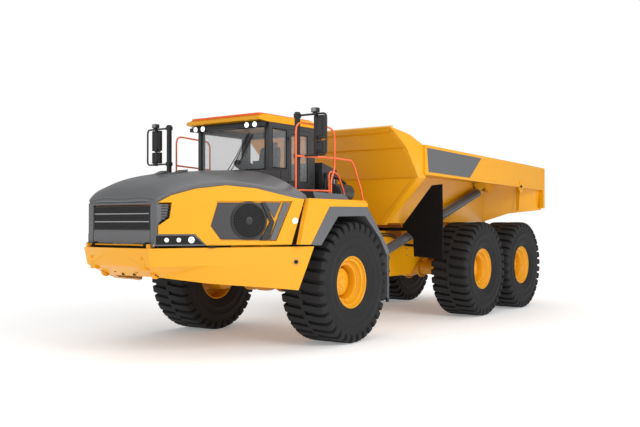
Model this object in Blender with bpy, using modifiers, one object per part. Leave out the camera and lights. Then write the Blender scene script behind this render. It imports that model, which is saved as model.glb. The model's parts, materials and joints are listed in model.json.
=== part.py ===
"""Articulated six-wheel dump truck, built as separate pieces in metres.

The front faces -Y, the truck's left side is +X and +Z is up. The origin lies on the ground
under the middle of the truck's length and width. Pieces of the front half are placed from the
front axle, and pieces of the rear half from the middle between the two rear axles.
"""

import math

import bmesh
import bpy
from mathutils import Matrix, Vector

# Overall
overall_length = 12.62
front_overhang = 3.60
mirror_reach = 2.14

# Wheels and axles
tyre_radius = 1.045
tyre_width = 0.86
half_track = 1.576
rim_radius = 0.455
hub_bore = 0.13
axle_spacing = 5.22
bogie_spacing = 2.20
axle_tube_radius = 0.16

# Clearances
seat_gap = 0.0003
pin_gap = 0.0005

# Front half
frame_half_width = 0.62
frame_beam_width = 0.20
front_beam_bottom = 1.245
front_beam_top = 1.58
skirt_top = 1.69
hood_bottom = 1.725
hood_pivot = (-3.47, 1.735)
nose_half_width = 0.77
grille_half_width = 0.645
panel_thickness = 0.06
deck_top = 2.46
deck_thickness = 0.07
fender_half_width = 1.98
fender_inner = 1.20

# Cab
cab_half_width = 0.84
cab_floor = 2.47
cab_wall = 0.06
cab_top = 3.80
cab_front = -0.94
cab_rear = 0.38
glass_thickness = 0.012
roof_thickness = 0.12
roof_overhang = 0.28
door_front = -0.40
door_rear = 0.24
door_sill = 2.56
door_head = 3.72
door_clear = 0.006
hinge_radius = 0.016
hinge_pin = 0.007

# Steering hitch
steer_pivot = 1.60
hitch_height = 1.20
steer_pin_radius = 0.065
roll_spigot_radius = 0.20
spigot_reach = 0.72
steer_radius = 0.055
steer_rod_radius = 0.028
steer_base = (0.40, 0.40)
steer_arm_x = 0.45
steer_arm_top = 1.10
steer_barrel_length = 0.79
steer_rod_length = 0.755

# Rear half, with y from the middle of the bogie
rear_beam_inner = 0.42
rear_beam_outer = 0.60
rear_beam_top = 1.62
rear_beam_bottom = 1.26
tip_pivot = (1.44, 1.60)
hoist_offset = 1.05
hoist_low_pin = (-3.93, 1.46)
hoist_top_pin = (0.89, 2.93)
hoist_radius = 0.088
floor_height = 2.06
body_wall = 0.06
body_half_width = 1.90

front_axle_y = front_overhang - overall_length / 2
mid_axle_y = front_axle_y + axle_spacing
rear_axle_y = mid_axle_y + bogie_spacing
bogie_y = mid_axle_y + bogie_spacing / 2
tail_y = overall_length / 2 - bogie_y
steer_y = front_axle_y + steer_pivot
steer_z = steer_arm_top + steer_radius * 0.9 + pin_gap

front_station = Vector((0, front_axle_y, 0))
rear_station = Vector((0, bogie_y, 0))

for old in list(bpy.data.objects):
    bpy.data.objects.remove(old, do_unlink=True)

truck = bpy.data.collections.new("articulated_dump_truck")
tools = bpy.data.collections.new("cutters")
bpy.context.scene.collection.children.link(truck)
bpy.context.scene.collection.children.link(tools)


def paint(name, colour, roughness, metallic=0.0, alpha=1.0):
    mat = bpy.data.materials.new(name)
    mat.use_nodes = True
    shader = mat.node_tree.nodes["Principled BSDF"]
    shader.inputs["Base Color"].default_value = (*colour, 1.0)
    shader.inputs["Roughness"].default_value = roughness
    shader.inputs["Metallic"].default_value = metallic
    shader.inputs["Alpha"].default_value = alpha
    return mat


yellow = paint("machine_yellow", (0.86, 0.47, 0.03), 0.35)
charcoal = paint("charcoal_paint", (0.09, 0.095, 0.10), 0.45)
black = paint("black_plastic", (0.02, 0.02, 0.022), 0.5)
rubber = paint("tyre_rubber", (0.03, 0.03, 0.033), 0.75)
steel = paint("dark_steel", (0.12, 0.125, 0.13), 0.4, 0.6)
chrome = paint("rod_chrome", (0.75, 0.75, 0.77), 0.12, 1.0)
glass = paint("tinted_glass", (0.35, 0.38, 0.40), 0.05, 0.0, 0.35)
rail_red = paint("rail_orange", (0.80, 0.16, 0.04), 0.4)
cloth = paint("seat_cloth", (0.05, 0.05, 0.055), 0.9)


def new_shape(mesh_data, place):
    """Puts a mesh in the cutters' collection, as a shape to be joined or cut with."""
    shape = bpy.data.objects.new("shape", mesh_data)
    shape.location = place
    shape.hide_render = True
    shape.display_type = "WIRE"
    tools.objects.link(shape)
    return shape


def from_bmesh(bm, place):
    bmesh.ops.recalc_face_normals(bm, faces=bm.faces)
    mesh_data = bpy.data.meshes.new("shape")
    bm.to_mesh(mesh_data)
    bm.free()
    return new_shape(mesh_data, place)


def block(x0, x1, y0, y1, z0, z1, place=(0, 0, 0)):
    bm = bmesh.new()
    size = Matrix.Diagonal((x1 - x0, y1 - y0, z1 - z0, 1))
    middle = Matrix.Translation(((x0 + x1) / 2, (y0 + y1) / 2, (z0 + z1) / 2))
    bmesh.ops.create_cube(bm, size=1, matrix=middle @ size)
    return from_bmesh(bm, place)


def bar(start, end, radius, place=(0, 0, 0), sides=16, end_radius=None):
    start, end = Vector(start), Vector(end)
    run = end - start
    turn = run.to_track_quat("Z", "Y").to_matrix().to_4x4()
    bm = bmesh.new()
    bmesh.ops.create_cone(
        bm, cap_ends=True, segments=sides, radius1=radius,
        radius2=radius if end_radius is None else end_radius, depth=run.length,
        matrix=Matrix.Translation((start + end) / 2) @ turn)
    return from_bmesh(bm, place)


def bore_radius(pin_radius, sides, gap=pin_gap):
    """The corner radius of a faceted hole whose flats clear a round pin."""
    return (pin_radius + gap) / math.cos(math.pi / sides)


def ball(centre, radius, squash=(1, 1, 1), place=(0, 0, 0)):
    bm = bmesh.new()
    matrix = Matrix.Translation(centre) @ Matrix.Diagonal((*squash, 1))
    bmesh.ops.create_uvsphere(bm, u_segments=16, v_segments=10, radius=radius, matrix=matrix)
    return from_bmesh(bm, place)


def mesh_from_curve(curve, place):
    """Turns a curve into a mesh shape, with its caps welded on."""
    holder = bpy.data.objects.new("curve", curve)
    tools.objects.link(holder)
    graph = bpy.context.evaluated_depsgraph_get()
    mesh_data = bpy.data.meshes.new_from_object(holder.evaluated_get(graph))
    bpy.data.objects.remove(holder, do_unlink=True)
    bm = bmesh.new()
    bm.from_mesh(mesh_data)
    bmesh.ops.remove_doubles(bm, verts=bm.verts, dist=0.00005)
    return from_bmesh(bm, place)


plane_axes = {
    "X": Matrix(((0, 0, 1), (1, 0, 0), (0, 1, 0))).to_4x4(),
    "Y": Matrix(((1, 0, 0), (0, 0, -1), (0, 1, 0))).to_4x4(),
    "Z": Matrix.Identity(4),
}


def slab(outline, axis, low, high, place=(0, 0, 0)):
    """A flat outline pushed along an axis: (y, z) along X, (x, z) along Y, (x, y) along Z."""
    curve = bpy.data.curves.new("outline", "CURVE")
    curve.dimensions = "2D"
    curve.fill_mode = "BOTH"
    curve.extrude = (high - low) / 2
    spline = curve.splines.new("POLY")
    spline.points.add(len(outline) - 1)
    for point, (u, v) in zip(spline.points, outline):
        point.co = (u, v, 0, 1)
    spline.use_cyclic_u = True
    shape = mesh_from_curve(curve, place)
    middle = (low + high) / 2
    shift = {"X": (middle, 0, 0), "Y": (0, middle, 0), "Z": (0, 0, middle)}[axis]
    shape.data.transform(Matrix.Translation(shift) @ plane_axes[axis])
    return shape


def tube(points, radius, place=(0, 0, 0), closed=False):
    curve = bpy.data.curves.new("tube", "CURVE")
    curve.dimensions = "3D"
    curve.bevel_depth = radius
    curve.bevel_resolution = 1
    curve.use_fill_caps = True
    spline = curve.splines.new("POLY")
    spline.points.add(len(points) - 1)
    for point, place_at in zip(spline.points, points):
        point.co = (*place_at, 1)
    spline.use_cyclic_u = closed
    return mesh_from_curve(curve, place)


def loft(rings, place=(0, 0, 0)):
    """A closed skin through rings of points, each ring with as many points as the next."""
    bm = bmesh.new()
    rows = [[bm.verts.new(point) for point in ring] for ring in rings]
    count = len(rings[0])
    for lower, upper in zip(rows, rows[1:]):
        for i in range(count):
            j = (i + 1) % count
            bm.faces.new((lower[i], lower[j], upper[j], upper[i]))
    bm.faces.new(reversed(rows[0]))
    bm.faces.new(rows[-1])
    bmesh.ops.triangulate(bm, faces=bm.faces)
    return from_bmesh(bm, place)


def mirrored(half):
    """A ring from its +X half, listed from the middle of the bottom up."""
    return [(x, y, z) for x, y, z in half] + [(-x, y, z) for x, y, z in reversed(half)]


def boolean(target, shape, operation):
    step = target.modifiers.new(operation.lower(), "BOOLEAN")
    step.operation = operation
    step.object = shape


def piece(name, mat, shapes, cuts=(), mount=None, smooth=False):
    """Joins the shapes into one named body and takes the cuts out of it."""
    body = shapes[0]
    body.name = name
    body.data.name = name
    body.hide_render = False
    body.display_type = "TEXTURED"
    tools.objects.unlink(body)
    truck.objects.link(body)
    body.data.materials.clear()
    body.data.materials.append(mat)
    for shape in shapes[1:]:
        boolean(body, shape, "UNION")
    for shape in cuts:
        boolean(body, shape, "DIFFERENCE")
    if smooth:
        body.data.shade_smooth()
        body.data.set_sharp_from_angle(angle=math.radians(35))
    if mount is not None:
        hang(body, mount)
    return body


def joint_empty(name, place):
    empty = bpy.data.objects.new(name, None)
    empty.location = place
    truck.objects.link(empty)
    return empty


def hang(body, empty):
    """Parents a piece to its joint's empty without moving it."""
    body.parent = empty
    body.matrix_parent_inverse = Matrix.Translation(-Vector(empty.location))


def turned(name, profile, mat, centre, side, mount, steps=24):
    """A closed profile of (radius, outward) points turned about the wheel's axle.

    The flats lie at the profile's radii, with one flat at the bottom.
    """
    half_step = math.pi / steps
    corner = Vector((math.cos(half_step), math.sin(half_step))) / math.cos(half_step)
    mesh_data = bpy.data.meshes.new(name)
    bm = bmesh.new()
    verts = [bm.verts.new((radius * corner.x, radius * corner.y, -out)) for radius, out in profile]
    for first, second in zip(verts, verts[1:] + verts[:1]):
        bm.edges.new((first, second))
    bm.to_mesh(mesh_data)
    bm.free()
    body = bpy.data.objects.new(name, mesh_data)
    truck.objects.link(body)
    body.location = centre
    body.rotation_euler = (0, math.radians(-90 * side), 0)
    body.data.materials.append(mat)
    screw = body.modifiers.new("turn", "SCREW")
    screw.axis = "Z"
    screw.angle = math.tau
    screw.steps = steps
    screw.render_steps = steps
    screw.use_merge_vertices = True
    screw.merge_threshold = 0.0001
    screw.use_smooth_shade = True
    hang(body, mount)
    return body


# Wheels

half_tyre = tyre_width / 2
rim_outer = 0.345
rim_bore = hub_bore + pin_gap
tyre_profile = [
    (rim_radius + 0.005, -0.36),
    (0.70, -half_tyre),
    (0.88, -half_tyre),
    (tyre_radius - 0.045, -half_tyre + 0.03),
    (tyre_radius, -half_tyre + 0.10),
    (tyre_radius, half_tyre - 0.10),
    (tyre_radius - 0.045, half_tyre - 0.03),
    (0.88, half_tyre),
    (0.70, half_tyre),
    (rim_radius + 0.005, 0.36),
    (rim_radius + seat_gap, 0.30),
    (rim_radius + seat_gap, -0.30),
]
rim_profile = [
    (rim_bore, -0.26),
    (0.30, -0.26),
    (0.33, -0.10),
    (rim_radius - 0.03, -0.10),
    (rim_radius - 0.03, -rim_outer),
    (rim_radius, -rim_outer),
    (rim_radius, rim_outer),
    (rim_radius - 0.04, rim_outer),
    (rim_radius - 0.06, 0.20),
    (rim_radius - 0.10, 0.02),
    (0.27, 0.00),
    (0.25, 0.12),
    (0.12, 0.16),
    (0.02, 0.16),
    (0.02, 0.11),
    (rim_bore, 0.11),
]

axle_stations = {"front": front_axle_y, "mid": mid_axle_y, "rear": rear_axle_y}
sides = {"left": 1, "right": -1}

for axle_name, axle_y in axle_stations.items():
    for side_name, side in sides.items():
        centre = Vector((side * half_track, axle_y, tyre_radius))
        spin = joint_empty(f"{axle_name}_{side_name}_spin", centre)
        turned(f"tyre_{axle_name}_{side_name}", tyre_profile, rubber, centre, side, spin)
        turned(f"rim_{axle_name}_{side_name}", rim_profile, yellow, centre, side, spin)

# Axles: a tube with a differential, and spindles that carry the wheels


def axle(name, place, pad_x, pad_top):
    reach = half_track + 0.09
    shapes = [
        bar((-half_track + 0.45, 0, tyre_radius), (half_track - 0.45, 0, tyre_radius), axle_tube_radius,
            place),
        bar((-reach, 0, tyre_radius), (reach, 0, tyre_radius), hub_bore, place, 24),
        ball((0, 0, tyre_radius), 0.30, (1.15, 1, 0.8), place),
    ]
    for side in (-1, 1):
        shapes.append(bar((side * (half_track - 0.46), 0, tyre_radius),
                          (side * (half_track - 0.29), 0, tyre_radius), 0.26, place, 20))
        shapes.append(block(side * pad_x - 0.08, side * pad_x + 0.08, -0.12, 0.12, tyre_radius, pad_top,
                            place))
    return piece(name, yellow, shapes, smooth=True)


rear_pad_x = (rear_beam_inner + rear_beam_outer) / 2
axle("front_axle", front_station, frame_half_width - frame_beam_width / 2, front_beam_bottom - seat_gap)
axle("mid_axle", Vector((0, mid_axle_y, 0)), rear_pad_x, rear_beam_bottom - seat_gap)
axle("rear_axle", Vector((0, rear_axle_y, 0)), rear_pad_x, rear_beam_bottom - seat_gap)

# Front frame with the two lugs of the steering pin

crosshead_rear = steer_pivot - 0.50
crosshead_half = 0.30
frame_front = -3.00
lug_gap = 0.24
lug_thickness = 0.20
shapes = []
inner = frame_half_width - frame_beam_width
for side in (-1, 1):
    shapes.append(block(*sorted((side * inner, side * frame_half_width)), frame_front, 1.05,
                        front_beam_bottom, front_beam_top, front_station))
shapes.append(block(-crosshead_half, crosshead_half, 0.80, crosshead_rear, 0.72, 1.68, front_station))
shapes.append(block(-frame_half_width, frame_half_width, 0.80, 1.00, front_beam_bottom + 0.02,
                    front_beam_top - 0.02, front_station))
for y in (frame_front, -1.20):
    shapes.append(block(-inner - 0.02, inner + 0.02, y, y + 0.2, front_beam_bottom + 0.05,
                        front_beam_top - 0.05, front_station))
for low in (hitch_height - lug_gap - lug_thickness, hitch_height + lug_gap):
    shapes.append(block(-0.20, 0.20, crosshead_rear - 0.02, steer_pivot, low, low + lug_thickness,
                        front_station))
    shapes.append(bar((0, steer_pivot, low), (0, steer_pivot, low + lug_thickness), 0.20, front_station, 24))
bracket_bottom = steer_z + steer_radius * 0.9 + pin_gap
for side in (-1, 1):
    shapes.append(block(*sorted((side * (steer_base[0] - 0.07), side * (steer_base[0] + 0.10))),
                        steer_base[1] - 0.08, steer_base[1] + 0.035, bracket_bottom,
                        front_beam_bottom + 0.05, front_station))
cab_base_top = deck_top - deck_thickness - seat_gap
shapes.append(block(-0.80, 0.80, -1.08, 0.95, front_beam_top - 0.05, cab_base_top, front_station))
pin_hole = bar((0, steer_pivot, 0.4), (0, steer_pivot, 2.0), bore_radius(steer_pin_radius, 32),
               front_station, 32)
front_frame = piece("front_frame", yellow, shapes, [pin_hole])

# Lower skirt: a bumper that wraps from one front wheel round the nose to the other

skirt_half = [
    # top x, top y, middle x, middle y, bottom x, bottom y, bottom z
    (0.00, -front_overhang, 0.00, -3.56, 0.00, -3.22, 1.25),
    (0.74, -3.55, 0.72, -3.50, 0.62, -3.18, 1.24),
    (1.18, -2.72, 1.16, -2.70, 1.08, -2.64, 1.14),
    (1.71, -1.74, 1.70, -1.72, 1.65, -1.74, 1.04),
    (2.00, -1.20, 1.95, -1.29, 1.87, -1.44, 1.00),
]
skirt_bend = 1.42
rings = []
for mirror in (-1, 1):
    rows = list(reversed(skirt_half[1:])) if mirror < 0 else skirt_half
    for tx, ty, mx, my, bx, by, bz in rows:
        inward = 0 if tx == 0 else panel_thickness * (0.5 if tx < 1 else 0.86)
        back = panel_thickness if tx < 1 else panel_thickness * 0.5
        rings.append([
            (mirror * tx, ty, skirt_top), (mirror * mx, my, skirt_bend), (mirror * bx, by, bz),
            (mirror * (bx - inward), by + back, bz + 0.02),
            (mirror * (mx - inward), my + back, skirt_bend),
            (mirror * (tx - inward), ty + back, skirt_top),
        ])
shapes = [loft(rings, front_station)]
for side in (-1, 1):
    shapes.append(block(*sorted((side * 0.50, side * 0.62)), -3.52, frame_front - seat_gap, 1.36, 1.52,
                        front_station))
    shapes.append(block(*sorted((side * 0.665, side * 0.715)), hood_pivot[0] - 0.06, hood_pivot[0] + 0.016,
                        1.62, hood_pivot[1] + 0.016, front_station))
hood_pin = 0.012
shapes.append(bar((-0.76, *hood_pivot), (0.76, *hood_pivot), hood_pin, front_station, 12))
piece("front_bumper", yellow, shapes)

# Engine, one plain block on the frame
piece("engine_block", steel, [block(-0.45, 0.45, -2.70, -1.45, front_beam_top + seat_gap, 2.30,
                                    front_station)])

# Hood: it tips forward about a pin above the bumper

hood_joint = joint_empty("hood_hinge", front_station + Vector((0, *hood_pivot)))
grille_joint = joint_empty("grille_hinge", front_station + Vector((0, *hood_pivot)))
seam = [
    # seam x, y and z, and the height at the middle
    (0.775, -3.44, 2.42, 2.45),
    (0.88, -3.24, 2.54, 2.62),
    (1.06, -2.91, 2.64, 2.76),
    (1.30, -2.49, 2.70, 2.86),
    (1.52, -2.07, 2.66, 2.92),
    (1.84, -1.50, 2.52, 2.96),
    (1.93, -1.30, 2.50, 2.97),
]


def hood_ring(x, y, z, crown, drop):
    """Points over the hood's outside at one station, then back along its inside."""
    over = [(0, crown), (0.55 * x, crown - 0.02), (0.82 * x, (crown + z) / 2 + 0.03), (x, z)]
    left = [(px, y, pz) for px, pz in over]
    under = [(px * 0.97, y, pz - drop) for px, pz in over]
    outer = [(-px, py, pz) for px, py, pz in reversed(left[1:])] + left
    return outer + list(reversed([(-px, py, pz) for px, py, pz in reversed(under[1:])] + under))


hood_skin = 0.05
piece("hood_top", charcoal, [loft([hood_ring(*row, hood_skin) for row in seam], front_station)],
      mount=hood_joint, smooth=True)

side_front = Vector((0.80, -3.39, 0))
side_rear = Vector((1.93, -1.33, 0))
side_run = (side_rear - side_front).normalized()
side_normal = Vector((side_run.y * -1, side_run.x, 0)) * -1


def side_slab(outline, depth_out, depth_in, side):
    """A panel in the plane of the nose's side, its outline as (y, z) seen from the side."""
    points = []
    for depth in (depth_out, depth_in):
        ring = []
        for y, z in outline:
            along = (y - side_front.y) / side_run.y
            base = side_front + side_run * along - side_normal * depth
            ring.append((side * base.x, base.y, z))
        points.append(ring)
    return loft(points, front_station)


mask_front = -3.44
mask_top = seam[0][2] - hood_skin - seat_gap
mask_rear = -3.37
side_outline = [
    (-3.41, 1.90), (-2.92, 1.90), (-2.76, hood_bottom), (-1.545, hood_bottom), (-1.35, 2.445),
    (-1.50, 2.462), (-2.07, 2.602), (-2.49, 2.64), (-2.91, 2.58), (-3.24, 2.475), (-3.41, 2.37),
]
screen_outline = [(-2.62, 2.40), (-2.72, 2.02), (-2.57, 1.80), (-1.77, 1.78), (-1.53, 2.41)]
vent_outline = [(-3.60, 2.36), (-3.23, 2.37), (-3.26, 2.14), (-3.44, 2.00), (-3.60, 2.00)]


for side_name, side in sides.items():
    panel = side_slab(side_outline, 0.0, panel_thickness, side)
    recess = side_slab(screen_outline, -0.2, panel_thickness - 0.02, side)
    notch = side_slab(vent_outline, -0.2, 0.3, side)
    mask_room = block(-nose_half_width - seat_gap, nose_half_width + seat_gap, -3.60, mask_rear + seat_gap,
                      1.0, 3.0, front_station)
    piece(f"hood_side_{side_name}", yellow, [panel], [recess, notch, mask_room], mount=hood_joint)

mask_outline = [(-nose_half_width, hood_bottom), (nose_half_width, hood_bottom),
                (nose_half_width, mask_top), (-nose_half_width, mask_top)]
mask_hole = [(-0.655, 1.5), (0.655, 1.5), (0.655, mask_top - 0.03), (-0.655, mask_top - 0.03)]
knuckle_hole = bar((-0.8, *hood_pivot), (0.8, *hood_pivot), bore_radius(hood_pin, 12), front_station, 12)
lamp_outline = [(-3.46, 1.897), (-2.923, 1.897), (-2.765, hood_bottom), (-3.46, hood_bottom)]
vent_back = [(-3.46, 2.34), (-3.27, 2.34), (-3.29, 2.16), (-3.46, 2.02)]
shapes = [slab(mask_outline, "Y", mask_front, mask_rear, front_station)]
for side in (-1, 1):
    shapes.append(side_slab(lamp_outline, 0.005, 0.08, side))
    shapes.append(side_slab(vent_back, 0.02, 0.05, side))
    shapes.append(bar((side * 0.72, *hood_pivot), (side * 0.76, *hood_pivot), 0.028, front_station, 12))
    shapes.append(block(*sorted((side * 0.72, side * 0.76)), hood_pivot[0], -3.40, hood_pivot[1] - 0.01,
                        hood_pivot[1] + 0.03, front_station))
piece("nose_mask", charcoal, shapes, [slab(mask_hole, "Y", -3.7, -3.2, front_station), knuckle_hole],
      mount=hood_joint)

grille_outline = [(-grille_half_width, hood_bottom + 0.03), (grille_half_width, hood_bottom + 0.03),
                  (grille_half_width, mask_top - 0.045), (-grille_half_width, mask_top - 0.045)]
shapes = [slab(grille_outline, "Y", -3.43, -3.38, front_station)]
for side in (-1, 1):
    shapes.append(bar((side * 0.56, *hood_pivot), (side * 0.62, *hood_pivot), 0.028, front_station, 12))
    shapes.append(block(*sorted((side * 0.56, side * 0.62)), hood_pivot[0], -3.40, hood_pivot[1],
                        hood_pivot[1] + 0.04, front_station))
grille_hole = bar((-0.8, *hood_pivot), (0.8, *hood_pivot), bore_radius(hood_pin, 12), front_station, 12)
piece("grille_step", black, shapes, [grille_hole], mount=grille_joint)

# Decks and fenders over the front wheels

flap_rear = 1.10
fender_outer = [(-1.25, 1.72), (-0.74, 2.335), (0.40, 2.345), (0.93, 1.79), (1.13, 1.54)]
fender_inner_line = [(1.05, 1.48), (0.80, 1.80), (0.33, 2.19), (-0.50, 2.175), (-0.98, 1.70)]
over_arch = [(y - 2 * seat_gap, z + seat_gap) for y, z in fender_outer[:3]]
deck_side = [(-1.53, hood_bottom), *over_arch, (0.43, 2.40), (-0.05, deck_top), (-1.30, deck_top)]
for side_name, side in sides.items():
    arch = slab(fender_outer + fender_inner_line, "X", *sorted((side * fender_inner,
                                                                side * fender_half_width)), front_station)
    flap = slab([(flap_rear - 0.03, 0.70), (flap_rear, 0.70), (flap_rear, 1.56), (flap_rear - 0.03, 1.53)],
                "X", *sorted((side * (fender_inner + 0.002), side * (fender_half_width - 0.002))),
                front_station)
    piece(f"fender_{side_name}", charcoal, [arch, flap])
    skin = slab(deck_side, "X", *sorted((side * 1.89, side * fender_half_width)), front_station)
    plate = block(*sorted((side * (cab_half_width + seat_gap), side * 1.94)), -1.27, 0.40,
                  deck_top - deck_thickness, deck_top, front_station)
    rear_plate = block(*sorted((side * 0.01, side * 1.60)), cab_rear + seat_gap, 0.98,
                       deck_top - deck_thickness, deck_top, front_station)
    piece(f"deck_{side_name}", yellow, [skin, plate, rear_plate])

# Cab

half = cab_half_width
shell = block(-half, half, cab_front, cab_rear, deck_top - deck_thickness, cab_top, front_station)
room = block(-half + cab_wall, half - cab_wall, cab_front + cab_wall, cab_rear - cab_wall, cab_floor,
             cab_top + 0.1, front_station)
windscreen_hole = block(-half + 0.08, half - 0.08, cab_front - 0.1, cab_front + 0.1, 3.00, 3.72,
                        front_station)
rear_hole = block(-half + 0.10, half - 0.10, cab_rear - 0.1, cab_rear + 0.1, 2.95, 3.68, front_station)
side_hole = block(-half - 0.1, -half + 0.1, -0.82, 0.26, 3.02, 3.70, front_station)
quarter_hole = block(half - 0.1, half + 0.1, -0.84, door_front - 0.05, 3.02, 3.70, front_station)
door_hole = block(half - 0.1, half + 0.1, door_front, door_rear, door_sill, door_head, front_station)
cowl = slab([(-1.285, 2.39), (cab_front + 0.02, 2.39), (cab_front + 0.02, 2.99), (-1.285, 2.93)],
            "X", -half, half, front_station)
door_hinge = (half + 0.022, door_front)
hinge_heights = (2.74, 3.54)
hinge_lugs = []
for z in hinge_heights:
    hinge_lugs.append(bar((*door_hinge, z - 0.05), (*door_hinge, z - 0.02), hinge_radius, front_station))
    hinge_lugs.append(bar((*door_hinge, z - 0.04), (*door_hinge, z + 0.04), hinge_pin, front_station, 12))
    hinge_lugs.append(block(half - 0.01, door_hinge[0], door_front - 0.05, door_front, z - 0.049, z - 0.021,
                            front_station))
piece("cab_body", charcoal, [shell, cowl, *hinge_lugs],
      [room, windscreen_hole, rear_hole, side_hole, quarter_hole, door_hole])


def pane(name, x0, x1, y0, y1, z0, z1, mount=None):
    return piece(name, glass, [block(x0, x1, y0, y1, z0, z1, front_station)], mount=mount)


pane_mid = cab_wall / 2
g = seat_gap
pane("windscreen", -half + 0.08 + g, half - 0.08 - g, cab_front + 0.01, cab_front + 0.01 + glass_thickness,
     3.00 + g, 3.72 - g)
pane("rear_window", -half + 0.10 + g, half - 0.10 - g, cab_rear - pane_mid,
     cab_rear - pane_mid + glass_thickness, 2.95 + g, 3.68 - g)
pane("side_window_right", -half + pane_mid - glass_thickness, -half + pane_mid, -0.82 + g, 0.26 - g,
     3.02 + g, 3.70 - g)
pane("quarter_window_left", half - pane_mid, half - pane_mid + glass_thickness, -0.84 + g,
     door_front - 0.05 - g, 3.02 + g, 3.70 - g)

door_joint = joint_empty("cab_door_hinge", front_station + Vector((*door_hinge, 0)))
frame = block(half - cab_wall + 0.01, half, door_front + door_clear, door_rear - door_clear,
              door_sill + door_clear, door_head - door_clear, front_station)
pane_hole = block(half - 0.2, half + 0.2, door_front + 0.08, door_rear - 0.08, 2.80, door_head - 0.08,
                  front_station)
knuckles = []
hinge_bores = []
for z in hinge_heights:
    knuckles.append(bar((*door_hinge, z - 0.0195), (*door_hinge, z + 0.05), hinge_radius, front_station))
    knuckles.append(block(half - 0.005, door_hinge[0], door_front + 0.008, door_front + 0.06, z - 0.0195,
                          z + 0.05, front_station))
    hinge_bores.append(bar((*door_hinge, z - 0.1), (*door_hinge, z + 0.0405), bore_radius(hinge_pin, 12),
                           front_station, 12))
piece("cab_door", charcoal, [frame, *knuckles], [pane_hole, *hinge_bores], mount=door_joint)
pane("door_glass", half - pane_mid, half - pane_mid + glass_thickness, door_front + 0.08 + g,
     door_rear - 0.08 - g, 2.80 + g, door_head - 0.08 - g, door_joint)

roof_outline = [(cab_front - roof_overhang, cab_top + 0.02), (cab_front - 0.05, cab_top + seat_gap),
                (cab_rear + 0.02, cab_top + seat_gap), (cab_rear + 0.02, cab_top + 0.06),
                (cab_rear - 0.1, cab_top + roof_thickness), (cab_front - 0.15, cab_top + roof_thickness),
                (cab_front - roof_overhang, cab_top + 0.07)]
rail_radius = 0.019
roof_rail_z = cab_top + roof_thickness + rail_radius * 0.6
rail_corners = [(-half + 0.06, cab_front - 0.14), (half - 0.06, cab_front - 0.14),
                (half - 0.06, cab_rear - 0.14), (-half + 0.06, cab_rear - 0.14)]
roof_rail = tube([(x, y, roof_rail_z) for x, y in rail_corners], rail_radius, front_station, closed=True)
piece("cab_roof", yellow, [slab(roof_outline, "X", -half - 0.02, half + 0.02, front_station), roof_rail])

lamp_y = cab_front - 0.10
shapes = [block(-half - 0.02, half + 0.02, lamp_y - 0.10, lamp_y, cab_top - 0.09, cab_top - 0.02,
                front_station),
          block(-half + 0.1, half - 0.1, lamp_y - 0.02, cab_front - seat_gap, cab_top - 0.07, cab_top - 0.03,
                front_station)]
piece("light_bar", black, shapes)

shapes = [block(-0.24, 0.24, -0.42, 0.12, cab_floor + 0.36, cab_floor + 0.50, front_station),
          slab([(0.02, cab_floor + 0.44), (0.12, cab_floor + 0.44), (0.20, cab_floor + 1.10),
                (0.10, cab_floor + 1.10)], "X", -0.24, 0.24, front_station)]
shapes.append(block(-0.18, 0.18, -0.32, 0.02, cab_floor + seat_gap, cab_floor + 0.38, front_station))
piece("operator_seat", cloth, shapes)
shapes = [slab([(-0.84, cab_floor + seat_gap), (-0.72, cab_floor + seat_gap), (-0.60, cab_floor + 0.50),
                (-0.72, cab_floor + 0.54)], "X", -0.12, 0.12, front_station),
          bar((0, -0.66, cab_floor + 0.50), (0, -0.60, cab_floor + 0.62), 0.03, front_station),
          bar((0, -0.605, cab_floor + 0.60), (0, -0.59, cab_floor + 0.63), 0.20, front_station, 20)]
piece("steering_console", black, shapes)

# Rails, mirrors and the equipment behind the cab

rail_x = 1.86

pole_y = -1.02
pole_x = 1.52
for side_name, side in sides.items():
    foot = deck_top + seat_gap
    front_post = (side * (pole_x + 0.10), pole_y + 0.12)
    rear_post = (side * rail_x, -0.55)
    lean_in = side * 0.006
    hoop = [(*rear_post, foot), (*rear_post, 3.72), (*front_post, 3.72), (*front_post, foot)]
    long_bar = [(front_post[0] + lean_in, front_post[1], 3.14),
                (rear_post[0] - 2 * lean_in, rear_post[1], 3.14),
                (side * rail_x, 0.02, 3.14), (side * rail_x, 0.10, 3.10), (side * rail_x, 0.36, 2.62),
                (side * rail_x, 0.36, foot)]
    toe_bar = [(front_post[0] + lean_in, front_post[1], 2.62), (rear_post[0] - lean_in, rear_post[1], 2.62)]
    shapes = [tube(line, rail_radius, front_station) for line in (hoop, long_bar, toe_bar)]
    piece(f"handrail_{side_name}", rail_red, shapes)

    pole = bar((side * pole_x, pole_y, foot), (side * pole_x, pole_y, 3.90), 0.035, front_station, 12)
    arm_out = mirror_reach - 0.02
    arm = tube([(side * pole_x, pole_y, 3.84), (side * (arm_out - 0.06), pole_y, 3.84),
                (side * arm_out, pole_y, 3.78), (side * arm_out, pole_y, 3.22),
                (side * (arm_out - 0.06), pole_y, 3.17), (side * pole_x, pole_y, 3.17)], 0.02,
               front_station)
    head = block(*sorted((side * 1.80, side * 1.98)), pole_y + 0.02, pole_y + 0.09, 3.25, 3.78,
                 front_station)
    stay = bar((side * 1.89, pole_y + 0.04, 3.16), (side * 1.89, pole_y + 0.04, 3.85), 0.018,
               front_station, 10)
    stay_low = bar((side * 1.89, pole_y, 3.17), (side * 1.89, pole_y + 0.05, 3.17), 0.018, front_station, 8)
    stay_high = bar((side * 1.89, pole_y, 3.84), (side * 1.89, pole_y + 0.05, 3.84), 0.018, front_station, 8)
    lamp = block(*sorted((side * 1.84, side * 1.94)), pole_y - 0.05, pole_y + 0.05, 3.84, 3.93,
                 front_station)
    piece(f"mirror_{side_name}", black, [pole, arm, head, stay, stay_low, stay_high, lamp])

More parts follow.
